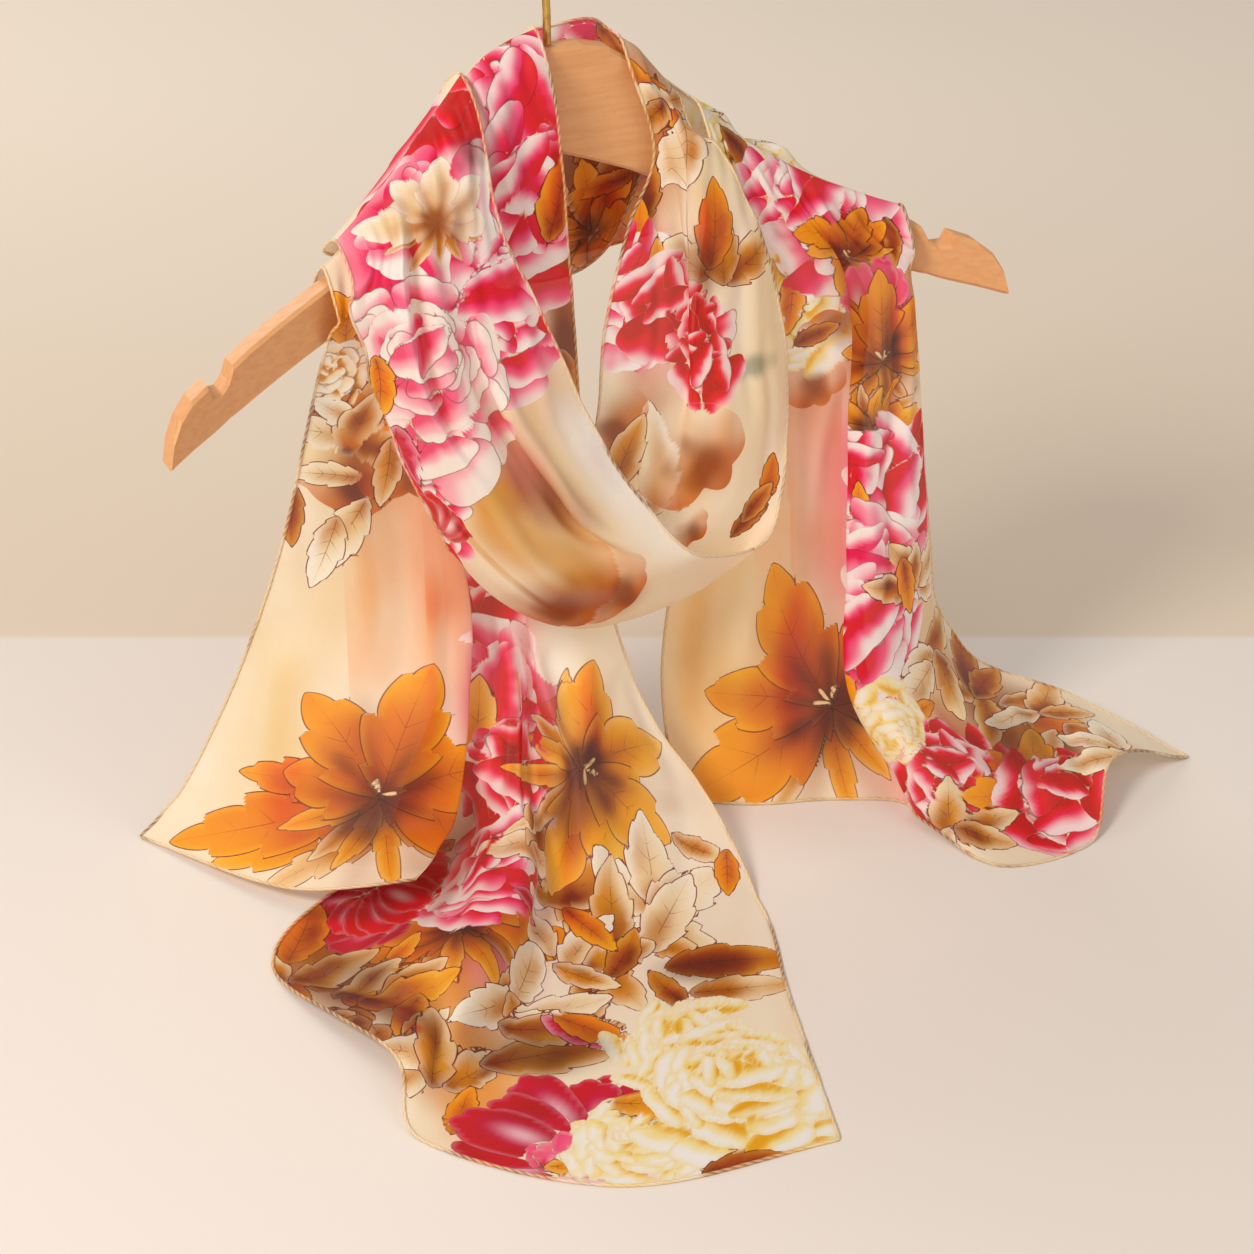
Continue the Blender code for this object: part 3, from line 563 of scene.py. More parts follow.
def add_piece(name, points, corners, places, values, material):
    """A smooth mesh piece on the one body, with its places on the cloth as a UV map, and its other values
    as attributes."""
    mesh = bpy.data.meshes.new(name)
    mesh.from_pydata(in_model(points).tolist(), [], corners)
    mesh.update()
    mesh.shade_smooth()
    loops = np.zeros(len(mesh.loops), np.int32)
    mesh.loops.foreach_get("vertex_index", loops)
    mesh.uv_layers.new(name="cloth").data.foreach_set("uv", places[loops].astype(np.float32).ravel())
    for key, value in values.items():
        if value.ndim == 1:
            layer = mesh.attributes.new(key, "FLOAT", "POINT")
            layer.data.foreach_set("value", value.astype(np.float32))
        else:
            layer = mesh.attributes.new(key, "FLOAT_COLOR", "POINT")
            four = np.concatenate([value, np.ones((len(value), 1))], axis=1)
            layer.data.foreach_set("color", four.astype(np.float32).ravel())
    mesh.materials.append(material)
    piece = bpy.data.objects.new(name, mesh)
    bpy.context.scene.collection.objects.link(piece)
    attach(piece, "root")
    return piece


def resampled(path, values, step):
    """A path and the values that go with its points, in even steps of about the given length, and how far
    along it each step is."""
    run = np.concatenate([[0.0], np.cumsum(np.linalg.norm(np.diff(path, axis=0), axis=1))])
    places = np.linspace(0.0, run[-1], int(np.ceil(run[-1] / step)) + 1)
    fine = [np.interp(places, run, column) for column in (*path.T, *values.T)]
    return np.stack(fine[:3], -1), np.stack(fine[3:], -1), places


def tube(path, side, radius):
    """A round tube along a path: rings square to it, each turned to start towards the given side."""
    way = unit(np.gradient(path, axis=0))
    side = unit(side - way * (side * way).sum(-1, keepdims=True))
    up = np.cross(side, way)
    turn = np.linspace(0.0, 2 * np.pi, HEM_SIDES, endpoint=False)
    ring = np.cos(turn)[None, :, None] * side[:, None] + np.sin(turn)[None, :, None] * up[:, None]
    return path[:, None] + radius[:, None, None] * ring


def hem_paths(row, grid):
    """The edges that are hemmed: both long edges, and the end of a tail, joined into one path there."""
    if row.name == STRETCHES[0].name:
        return [np.concatenate([grid[::-1, 0], grid[0, 1:], grid[1:, -1]])]
    if row.name == STRETCHES[-1].name:
        return [np.concatenate([grid[:, 0], grid[-1, 1:], grid[-2::-1, -1]])]
    return [grid[:, 0], grid[:, -1]]


def make_hem(row, grid, normal, shade, thick, material):
    """Rolled hems: thin uneven tubes along the hemmed edges, lying on the table where the cloth does.
    Each keeps the colour of the cloth beside it, including that cloth's painted fold shade and light."""
    points, corners, places, shades = [], [], [], []
    start = 0
    shade = shade.reshape(*grid.shape[:2], -1)
    beside = np.concatenate([normal, shade], axis=-1)
    for path, values in zip(hem_paths(row, grid), hem_paths(row, beside)):
        fine, values, run = resampled(path, values, HEM_STEP)
        radius = thick * (1.0 + HEM_UNEVENNESS[0] * ripple(run, 0 * run, seed=41, length=HEM_UNEVENNESS[1]))
        fine[:, 2] = np.maximum(fine[:, 2], TABLE + radius)
        rings = tube(fine, values[:, :3], radius)
        last = start + (len(fine) - 1) * HEM_SIDES
        corners += (grid_faces(len(fine), HEM_SIDES, round_too=True) + start).tolist()
        corners += [list(range(start, start + HEM_SIDES)), list(range(last, last + HEM_SIDES))[::-1]]
        around = np.tile(np.arange(HEM_SIDES) / HEM_SIDES, len(fine))
        points.append(rings.reshape(-1, 3))
        places.append(np.stack([np.repeat(run, HEM_SIDES), around], -1))
        shades.append(np.repeat(values[:, 3:], HEM_SIDES, axis=0))
        start += len(fine) * HEM_SIDES
    points, places = np.concatenate(points), np.concatenate(places)
    return add_piece("hem_" + row.name, points, corners, places, {"tint": np.concatenate(shades)}, material)


def make_stretch(row, sizes, colours):
    """One stretch of the scarf: its printed shell, which stands for the plain solid, and its hems."""
    cloth = drawn_cloth(row, sizes.gather_height / CM)
    grid = cloth.grid
    normal = grid_normals(grid)
    places = np.stack(cloth.flat, -1).reshape(-1, 2)
    paint = printed(row, cloth, colours)
    corners = grid_faces(*grid.shape[:2]).tolist()
    silk = chiffon(sizes, colours)
    shell = add_piece("scarf_" + row.name, grid.reshape(-1, 3), corners, places, paint.values(), silk)
    thick = sizes.hem_diameter / 2 / CM
    hem = make_hem(row, grid, normal, paint.shown(), thick, rolled_hem(colours))
    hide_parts(row.name)


# ---------------------------------------------------------------- print
# The print is painted shape over shape. Each shape is a signed distance to its outline, below nothing
# inside it, and a wash of colour. Neighbouring shapes go to different ink layers, so that the material
# can cut each outline sharply between the points of the mesh.
LAYERS = 4
CUT_MARGIN = 0.3  # how far past its outline a shape's ink is kept, so that the cut stays clean (cm)
LINE_REACH = 0.12  # how far past it the strength of its drawn outline holds (cm)
NO_VEIN = 1.0  # a distance to the nearest vein that draws none (cm)
FOLD_REACH = 1.7  # a motif spreads no further over the flat cloth than this many times its reach
ROLL_SLACK = (1.15, 0.4)  # rolled out, a point may be this many times nearer than straight, and cm
WET_CORE = 0.2  # share of its size within which a wet patch is full, and where it has gone
WET_RIM = 1.4
WET_WANDER = 0.22

# The silk scatters light, so colours are laid on further from grey than they look. Painted shade darkens the
# troughs of the folds, and painted light pales their ridges.
DEEPER = 1.3
DARKER = 0.96
LEAST_COLOUR = 0.004
ALL_DEPTH = 1.05
TROUGH_PAINTED_SHADE = 0.7
RIDGE_LIGHT = 0.25
FULL_DEPTH = 0.3  # height of a fold at which its full depth or light is reached (cm)

# ---------------------------------------------------------------- layout of the print
# Every row of these tables starts with its place, the middle or root, and a second place that it points
# to. Both are places of the camera's view, except in the stretches that are SHOWN_BEHIND: there they are
# centimetres along and across the flat cloth. Lengths, widths and sizes are centimetres on the cloth.
GROUND = "#FBF0DC"
FIRST_SEED = 100

# From the root of a petal or leaf to its pale outer part, and the line of colour round a petal, if any.
Shade = namedtuple("Shade", "base middle tip rim edge", defaults=(None,))

SHADES = {
    "pink": Shade("#D4264E", "#EE7494", "#FBD0DA", "#FFF8F8"),
    "blush": Shade("#E04C70", "#F49AB0", "#FDE4E8", "#FFFCFA"),
    "snow": Shade("#E8708E", "#F9BAC8", "#FFF3F2", "#FFFBF6"),
    "rose": Shade("#BC1030", "#DC304E", "#F58CA0", "#FFEEEF"),
    "crimson": Shade("#B00A3A", "#C8124A", "#E65084", "#FCDCE8"),
    "yellow": Shade("#E8B448", "#FBEDB8", "#FFFEF6", "#FFFFFE", "#F8E6A4"),
    "orange": Shade("#9A4620", "#E0883E", "#EFA852", "#F6C07A"),
    "golden": Shade("#BE6E30", "#EDA850", "#F6C070", "#FAD69A"),
    "brown": Shade("#622606", "#A2501C", "#CE8A48", "#E8BE8C"),
    "tan": Shade("#863C10", "#D49450", "#F7E2BC", "#FCF3E0"),
    "cream": Shade("#C4864E", "#F7E6C6", "#FEF8E8", "#FFFDF6"),
    "umber": Shade("#762A02", "#C8681C", "#D89248", "#E4B078"),
    "ghost": Shade("#F0D8AC", "#F8E8C8", "#FBF0DA", "#FDF6E8"),
    "peach": Shade("#F0B896", "#F4C6A4", "#F6CFB0", "#F8D8BE"),
    "salmon": Shade("#E49880", "#EBA488", "#EFB49A", "#F3C4AE"),
}

Wash = namedtuple("Wash", "x y to_x to_y length width hue strength")
Gloss = namedtuple("Gloss", "x y to_x to_y length width strength")
Motif = namedtuple("Motif", "kind x y to_x to_y size shade")

# Rows of Wash: soft tints of the bare ground. A few of them, marked below, are painted highlights and painted
# shadows.
WASHES_AND_PAINTED_LIGHT = {
    "left_tail": (
        (520, 120, 530, 60, 6, 4, "#D01F4E", 0.95), (535, 230, 540, 180, 5, 3, "#DC4878", 0.9),
        (340, 440, 345, 390, 4, 3, "#F6DCA8", 0.7), (365, 470, 355, 500, 2.6, 1.8, "#A9683C", 0.75),
        (330, 590, 330, 520, 5, 2, "#EBCFA2", 0.5), (400, 460, 410, 430, 3.4, 2.4, "#C47A4A", 0.6),
        (400, 540, 405, 500, 4, 2.4, "#EDB78E", 0.7), (440, 560, 440, 500, 6, 2.4, "#EBA78A", 0.6),
        (250, 700, 240, 650, 9, 4, "#F3E0BA", 0.6), (500, 690, 505, 640, 8, 2.2, "#D6366A", 0.95),
        (567, 290, 570, 350, 7, 1.3, "#B05C20", 0.95), (567, 345, 570, 390, 3, 1, "#6E2E10", 0.9),
        # The second row here is a painted highlight on the glossy fold at the front.
        (590, 690, 610, 640, 7, 3, "#FBF1DC", 0.7), (560, 690, 568, 740, 6, 1.6, "#FFF9EC", 0.95),
        (650, 860, 700, 900, 10, 7, "#FBF2E4", 0.8), (600, 960, 640, 900, 8, 6, "#FAF0E2", 0.8),
        (330, 960, 400, 1000, 7, 4, "#A9602C", 0.95), (440, 960, 440, 900, 6, 3, "#D27E2C", 0.9),
        (530, 850, 540, 800, 5, 2.4, "#D98A4A", 0.7), (560, 790, 570, 760, 3.4, 2, "#8E4018", 0.8),
        (500, 900, 500, 850, 7, 2, "#E5749E", 0.7), (480, 1080, 480, 1040, 4, 3, "#E2902E", 0.8),
        (620, 1160, 640, 1120, 5, 3, "#FBEFD8", 0.8),
    ),
    "back_swag_inner": (
        (600, 190, 620, 190, 8, 4, "#8E4A24", 0.9), (595, 235, 610, 235, 6, 2, "#CE6E24", 0.9),
    ),
    "loop_right": (
        (650, 300, 640, 250, 5, 2, "#CC3560", 0.85), (690, 470, 700, 440, 2.4, 1.8, "#C48A54", 0.7),
        (640, 430, 650, 390, 3, 2, "#B07846", 0.8), (625, 490, 650, 520, 3, 2, "#C09468", 0.6),
        (770, 350, 775, 300, 7, 1.2, "#F2E2C0", 0.6), (755, 370, 735, 372, 1.4, 0.7, "#8E9684", 0.8),
        (715, 140, 725, 190, 5, 2, "#F6E8CC", 0.7), (650, 110, 660, 160, 5, 1.6, "#B86F34", 0.85),
        (640, 220, 640, 180, 4, 1.4, "#C4702E", 0.8),
    ),
    "loop_left": (
        (450, 170, 470, 120, 6, 3.6, "#D31E48", 0.98), (500, 220, 480, 180, 4, 3, "#DC2A56", 0.95),
        (400, 300, 410, 240, 6, 4, "#EE7AA6", 0.9), (490, 300, 510, 250, 5, 3, "#E25488", 0.95),
        (540, 520, 600, 560, 7, 3, "#E8C690", 0.6), (430, 470, 450, 510, 4, 2, "#EBC9A0", 0.7),
        # The second row here is a painted shadow under the turned-out band along the hem.
        (588, 600, 640, 592, 3.4, 1.5, "#A2561C", 0.9), (512, 480, 500, 440, 3.4, 1.8, "#B8742E", 0.75),
        # The second row here is a painted highlight on the left of the bowl.
        (480, 500, 500, 540, 4, 1.4, "#D9A05C", 0.7), (440, 500, 465, 560, 4, 1.2, "#FBEAD0", 0.8),
        (560, 560, 600, 580, 4, 1.4, "#DDA860", 0.6), (530, 420, 560, 460, 7, 1.6, "#F4DFB8", 0.7),
        # The second row here is a painted highlight along the hem of the turned-out band.
        (545, 385, 580, 440, 5, 1.8, "#F3D6B4", 0.8), (620, 475, 660, 520, 6, 1.7, "#FFFDF9", 1),
        # Both rows here are painted shadows under the turned-out band.
        (545, 492, 570, 520, 3.2, 1.2, "#A8603A", 0.75), (515, 455, 530, 480, 2.6, 1.2, "#D0606A", 0.5),
        (480, 350, 520, 350, 2.4, 1.4, "#F3D3A8", 0.6),
    ),
    "right_tail": (
        (760, 230, 765, 300, 5, 3, "#F4DC9C", 0.8), (880, 300, 885, 380, 6, 3, "#C8701E", 0.9),
        (870, 520, 875, 620, 7, 3, "#EC7C9C", 0.85), (730, 620, 740, 700, 10, 5, "#F0D0A2", 0.8),
        (700, 750, 710, 700, 6, 4, "#F0CC9C", 0.7), (1010, 720, 1060, 740, 6, 4, "#9A5A30", 0.95),
        (930, 650, 940, 700, 6, 3, "#EBD2B0", 0.8), (905, 620, 910, 660, 4, 1.6, "#CF9A68", 0.8),
        (815, 400, 817, 430, 2.4, 1.2, "#9A5238", 0.6), (960, 770, 1000, 800, 5, 3, "#D81E50", 0.6),
    ),
}

# Rows of Motif, painted in this order, each over the ones before.
MOTIFS = {
    "left_tail": (
        ("panel", 402, 555, 405, 720, 2.9, "peach"), ("panel", 448, 500, 452, 650, 1.1, "salmon"),
        ("peony", 515, 70, 500, 110, 4.4, "rose"), ("peony", 540, 135, 545, 90, 4.6, "pink"),
        ("peony", 535, 215, 540, 170, 4.2, "pink"), ("leaf", 553, 245, 567, 160, 5.5, "orange"),
        ("leaf", 566, 350, 566, 450, 5, "brown"), ("cluster", 345, 335, 340, 300, 3, "golden"),
        ("leaf", 372, 372, 385, 450, 4.2, "orange"), ("mum", 330, 385, 335, 350, 2.2, "cream"),
        ("cluster", 352, 440, 345, 380, 3.6, "tan"), ("blot", 362, 475, 360, 520, 2.6, "umber"),
        ("blot", 560, 795, 570, 770, 2.4, "umber"), ("leaf", 372, 500, 320, 560, 4.4, "cream"),
        ("leaf", 365, 480, 300, 470, 3.6, "cream"), ("blot", 410, 470, 415, 500, 2, "umber"),
        ("leaf", 395, 440, 392, 520, 4, "tan"), ("leaf", 335, 520, 310, 610, 4.4, "cream"),
        ("leaf", 290, 485, 278, 560, 3.4, "brown"), ("finger", 388, 815, 226, 884, 9.6, "golden"),
        ("finger", 392, 825, 268, 892, 7.6, "tan"), ("finger", 455, 835, 338, 874, 6.4, "orange"),
        ("finger", 392, 798, 168, 852, 12.6, "orange"), ("finger", 392, 792, 245, 772, 8.4, "orange"),
        ("spray", 378, 800, 400, 700, 6.6, "orange"), ("peony", 490, 650, 495, 590, 4.2, "rose"),
        ("peony", 512, 720, 510, 650, 4, "pink"), ("leaf", 470, 775, 478, 700, 5, "golden"),
        ("peony", 515, 790, 525, 720, 3.6, "rose"), ("spray", 452, 925, 460, 840, 6.2, "orange"),
        ("peony", 497, 862, 500, 820, 3.4, "pink"), ("bloom", 352, 905, 330, 890, 3, "crimson"),
        ("bloom", 405, 898, 410, 880, 2.6, "rose"), ("cluster", 312, 965, 345, 950, 4.8, "brown"),
        ("leaf", 380, 975, 410, 940, 4.2, "orange"), ("cluster", 345, 1000, 380, 1010, 3.6, "brown"),
        ("cluster", 380, 1010, 410, 1030, 4.4, "brown"), ("leaf", 420, 990, 400, 1050, 3.6, "orange"),
        ("cluster", 405, 1050, 420, 1070, 3.4, "brown"), ("cluster", 435, 1070, 430, 1030, 3.8, "tan"),
        ("cluster", 545, 880, 560, 850, 4.4, "tan"), ("leaf", 530, 800, 590, 850, 5.4, "tan"),
        ("leaf", 535, 840, 600, 860, 3.8, "cream"), ("spray", 585, 765, 680, 810, 6.2, "golden"),
        ("cluster", 640, 905, 690, 880, 4.4, "cream"), ("leaf", 675, 830, 725, 860, 3.4, "tan"),
        ("leaf", 620, 945, 610, 845, 5.6, "tan"), ("leaf", 650, 950, 700, 850, 6.4, "cream"),
        ("leaf", 725, 845, 732, 900, 3.2, "orange"), ("cluster", 575, 960, 620, 950, 4.4, "tan"),
        ("leaf", 610, 975, 660, 920, 4, "brown"), ("leaf", 560, 905, 610, 940, 3.8, "orange"),
        ("leaf", 515, 885, 545, 925, 2.6, "crimson"), ("leaf", 500, 990, 550, 950, 3.6, "tan"),
        ("leaf", 555, 960, 620, 985, 3.8, "tan"), ("cluster", 520, 1010, 560, 1020, 4.6, "cream"),
        ("leaf", 480, 1060, 625, 1045, 8, "tan"), ("leaf", 500, 1020, 620, 1040, 6.2, "tan"),
        ("leaf", 540, 1012, 640, 1055, 5.4, "crimson"), ("leaf", 550, 1012, 635, 1040, 4.8, "orange"),
        ("leaf", 665, 965, 775, 945, 6.6, "brown"), ("leaf", 690, 990, 785, 980, 5.4, "tan"),
        ("leaf", 690, 1005, 640, 965, 3.6, "brown"), ("peony", 625, 1160, 625, 1120, 3.6, "blush"),
        ("leaf", 450, 1130, 480, 1070, 3.8, "orange"), ("bloom", 530, 1125, 470, 1095, 3.7, "crimson"),
        ("bloom", 592, 1150, 600, 1110, 2, "pink"), ("leaf", 540, 1165, 600, 1160, 3.4, "golden"),
        ("pompon", 655, 1140, 650, 1100, 3.6, "yellow"), ("pompon", 690, 1040, 690, 1000, 3.6, "yellow"),
        ("leaf", 612, 1100, 715, 1108, 5.4, "golden"), ("pompon", 748, 1085, 750, 1010, 4.8, "yellow"),
        ("leaf", 700, 1172, 790, 1155, 4.6, "brown"),
    ),
    "back_swag_inner": (
        ("cluster", 600, 190, 620, 190, 3.6, "brown"), ("spray", 595, 235, 610, 235, 3.4, "orange"),
        ("leaf", 640, 170, 600, 190, 3.6, "umber"), ("peony", 575, 26, 585, 24, 3, "blush"),
        ("leaf", 600, 30, 640, 40, 2.8, "orange"),
    ),
    "loop_right": (
        ("leaf", 640, 130, 635, 70, 4, "orange"), ("leaf", 655, 75, 690, 130, 4, "orange"),
        ("cluster", 682, 112, 690, 160, 3, "cream"), ("leaf", 640, 230, 638, 160, 3.6, "brown"),
        ("leaf", 630, 290, 650, 200, 4.4, "orange"), ("rosette", 625, 325, 640, 280, 2.6, "blush"),
        ("rosette", 640, 285, 645, 250, 2.2, "pink"), ("cluster", 722, 268, 712, 205, 3.6, "tan"),
        ("leaf", 712, 275, 728, 190, 4.6, "orange"), ("leaf", 660, 310, 665, 230, 3.6, "orange"),
        ("rosette", 664, 310, 662, 280, 2.2, "rose"), ("rosette", 690, 335, 680, 300, 1.8, "rose"),
        ("rosette", 702, 376, 690, 340, 2, "rose"), ("leaf", 655, 520, 665, 400, 6, "cream"),
        ("leaf", 632, 500, 648, 420, 3.8, "ghost"), ("leaf", 650, 560, 645, 490, 3.6, "ghost"),
        ("blot", 688, 458, 712, 480, 2.6, "umber"), ("blot", 690, 530, 700, 545, 1.1, "umber"),
        ("blot", 612, 428, 632, 450, 1.9, "umber"), ("leaf", 735, 538, 772, 497, 2.6, "brown"),
        ("leaf", 766, 505, 785, 455, 2.6, "umber"), ("leaf", 612, 500, 650, 400, 4.6, "tan"),
        ("leaf", 745, 525, 775, 480, 2.6, "brown"),
    ),
    "loop_left": (
        ("peony", 455, 165, 470, 110, 4.6, "rose"), ("peony", 485, 85, 490, 60, 4, "rose"),
        ("peony", 512, 235, 512, 200, 4.4, "pink"), ("peony", 462, 290, 440, 230, 5.4, "pink"),
        ("peony", 385, 280, 400, 230, 5.2, "blush"), ("peony", 520, 312, 505, 270, 3, "pink"),
        ("rosette", 425, 535, 418, 500, 2, "pink"), ("mum", 410, 475, 405, 440, 2.6, "blush"),
        ("mum", 405, 395, 405, 330, 5, "snow"), ("spray", 440, 226, 440, 180, 3, "cream"),
        ("bloom", 415, 510, 405, 450, 2, "rose"), ("leaf", 395, 430, 410, 490, 3.4, "crimson"),
        ("leaf", 375, 360, 390, 430, 3.6, "orange"), ("blot", 560, 602, 570, 640, 3, "umber"),
        ("blot", 615, 594, 640, 610, 1.9, "umber"),
    ),
    "back_swag_outer": (
        ("peony", 3, -1, 4, -1, 3.4, "rose"), ("cluster", 8, 2, 9, 2.5, 4, "golden"),
        ("leaf", 9, -4, 12, -2, 4, "brown"), ("peony", 13, -1, 14, 0, 4.2, "blush"),
        ("spray", 17, 2.5, 18, 1, 4, "orange"), ("leaf", 15.5, 4, 19, 3, 3.6, "brown"),
        ("pompon", 21, -2, 22, -2, 3.4, "yellow"), ("cluster", 23.5, 2, 24, 1, 3.6, "tan"),
    ),
    "right_tail": (
        ("panel", 818, 330, 822, 620, 1.5, "salmon"), ("panel", 775, 420, 780, 600, 1.2, "peach"),
        ("pompon", 745, 190, 750, 150, 3.8, "yellow"), ("leaf", 725, 125, 760, 170, 3.4, "brown"),
        ("peony", 800, 210, 805, 180, 3, "blush"), ("pompon", 790, 300, 790, 260, 3.6, "yellow"),
        ("leaf", 785, 245, 810, 190, 3.2, "orange"), ("blot", 835, 340, 835, 310, 1.6, "umber"),
        ("blot", 815, 385, 818, 400, 1.5, "umber"), ("leaf", 790, 275, 800, 330, 3.6, "golden"),
        ("leaf", 795, 350, 830, 330, 2.6, "brown"), ("peony", 840, 200, 830, 170, 3.4, "pink"),
        ("leaf", 888, 215, 900, 255, 2.6, "brown"), ("spray", 850, 262, 830, 230, 3, "orange"),
        ("bloom", 850, 300, 850, 270, 2.4, "pink"), ("leaf", 845, 300, 850, 380, 4, "orange"),
        ("spray", 885, 365, 885, 290, 4.2, "orange"), ("spray", 868, 430, 860, 480, 3.4, "golden"),
        ("peony", 908, 500, 905, 460, 3.6, "rose"), ("peony", 860, 490, 860, 460, 3.4, "pink"),
        ("leaf", 865, 540, 850, 500, 3, "orange"), ("peony", 860, 590, 860, 550, 3.6, "blush"),
        ("peony", 865, 650, 860, 620, 3.4, "pink"), ("cluster", 915, 590, 920, 560, 3.2, "tan"),
        ("leaf", 905, 560, 915, 620, 3.4, "orange"), ("spray", 835, 705, 800, 635, 7.4, "orange"),
        ("cluster", 940, 670, 950, 710, 4, "tan"), ("leaf", 905, 720, 935, 700, 3, "orange"),
        ("cluster", 1000, 700, 1050, 700, 4.8, "brown"), ("cluster", 1050, 720, 1090, 740, 4, "tan"),
        ("peony", 960, 785, 925, 755, 3, "rose"), ("spray", 1035, 790, 1040, 750, 3.8, "orange"),
        ("peony", 1072, 795, 1075, 750, 3.2, "rose"), ("cluster", 970, 835, 1000, 850, 3.4, "tan"),
        ("cluster", 1130, 775, 1110, 750, 3.6, "cream"), ("pompon", 884, 735, 888, 770, 2, "yellow"),
    ),
}

# Rows of Wash: wet tints over the whole print. One of them, marked below, is a painted shadow.
STAINS_AND_PAINTED_SHADOW = {
    "left_tail": (
        (455, 850, 450, 800, 4, 2, "#9A481A", 0.55), (350, 985, 400, 1005, 5, 2.4, "#54240E", 0.65),
        # The first row here is a painted shadow in the gap under the curled hem of the left panel.
        (350, 908, 400, 902, 4, 1, "#7A0A22", 0.6), (462, 860, 455, 800, 6, 0.8, "#8A3A1A", 0.4),
        (540, 1048, 580, 1050, 3.4, 1.8, "#4A1E0A", 0.75), (565, 800, 570, 780, 2.4, 1.6, "#5A2208", 0.7),
        (700, 965, 760, 960, 2.4, 1.2, "#5A2810", 0.6), (400, 1010, 430, 1040, 2.4, 1.6, "#5A2810", 0.5),
        (480, 160, 490, 200, 2, 1, "#6A3010", 0.5),
    ),
    "loop_right": (
        (700, 270, 705, 240, 1.8, 1.2, "#7E4420", 0.55),
    ),
    "loop_left": (
        (475, 150, 480, 180, 1.2, 0.8, "#6A2A14", 0.7),
    ),
    "right_tail": (
        (855, 300, 858, 360, 5, 1.6, "#8A4018", 0.4), (1020, 740, 1040, 760, 3, 2, "#54240E", 0.65),
    ),
}

# Rows of Gloss: where the cloth is pulled smooth and shines. The material gives these places lower roughness
# and a painted sheen that pales their colour.
GLOSS_AND_PAINTED_SHEEN = {
    "left_tail": (
        (548, 690, 560, 740, 3.4, 0.8, 0.7),
    ),
    "loop_left": (
        (505, 440, 560, 520, 5.5, 1.1, 0.9), (610, 490, 660, 540, 4.4, 1.2, 1),
        (560, 600, 620, 600, 4, 0.8, 0.7), (700, 545, 740, 520, 3, 0.7, 0.8),
    ),
    "right_tail": (
        (880, 740, 885, 700, 3, 0.7, 0.6),
    ),
}


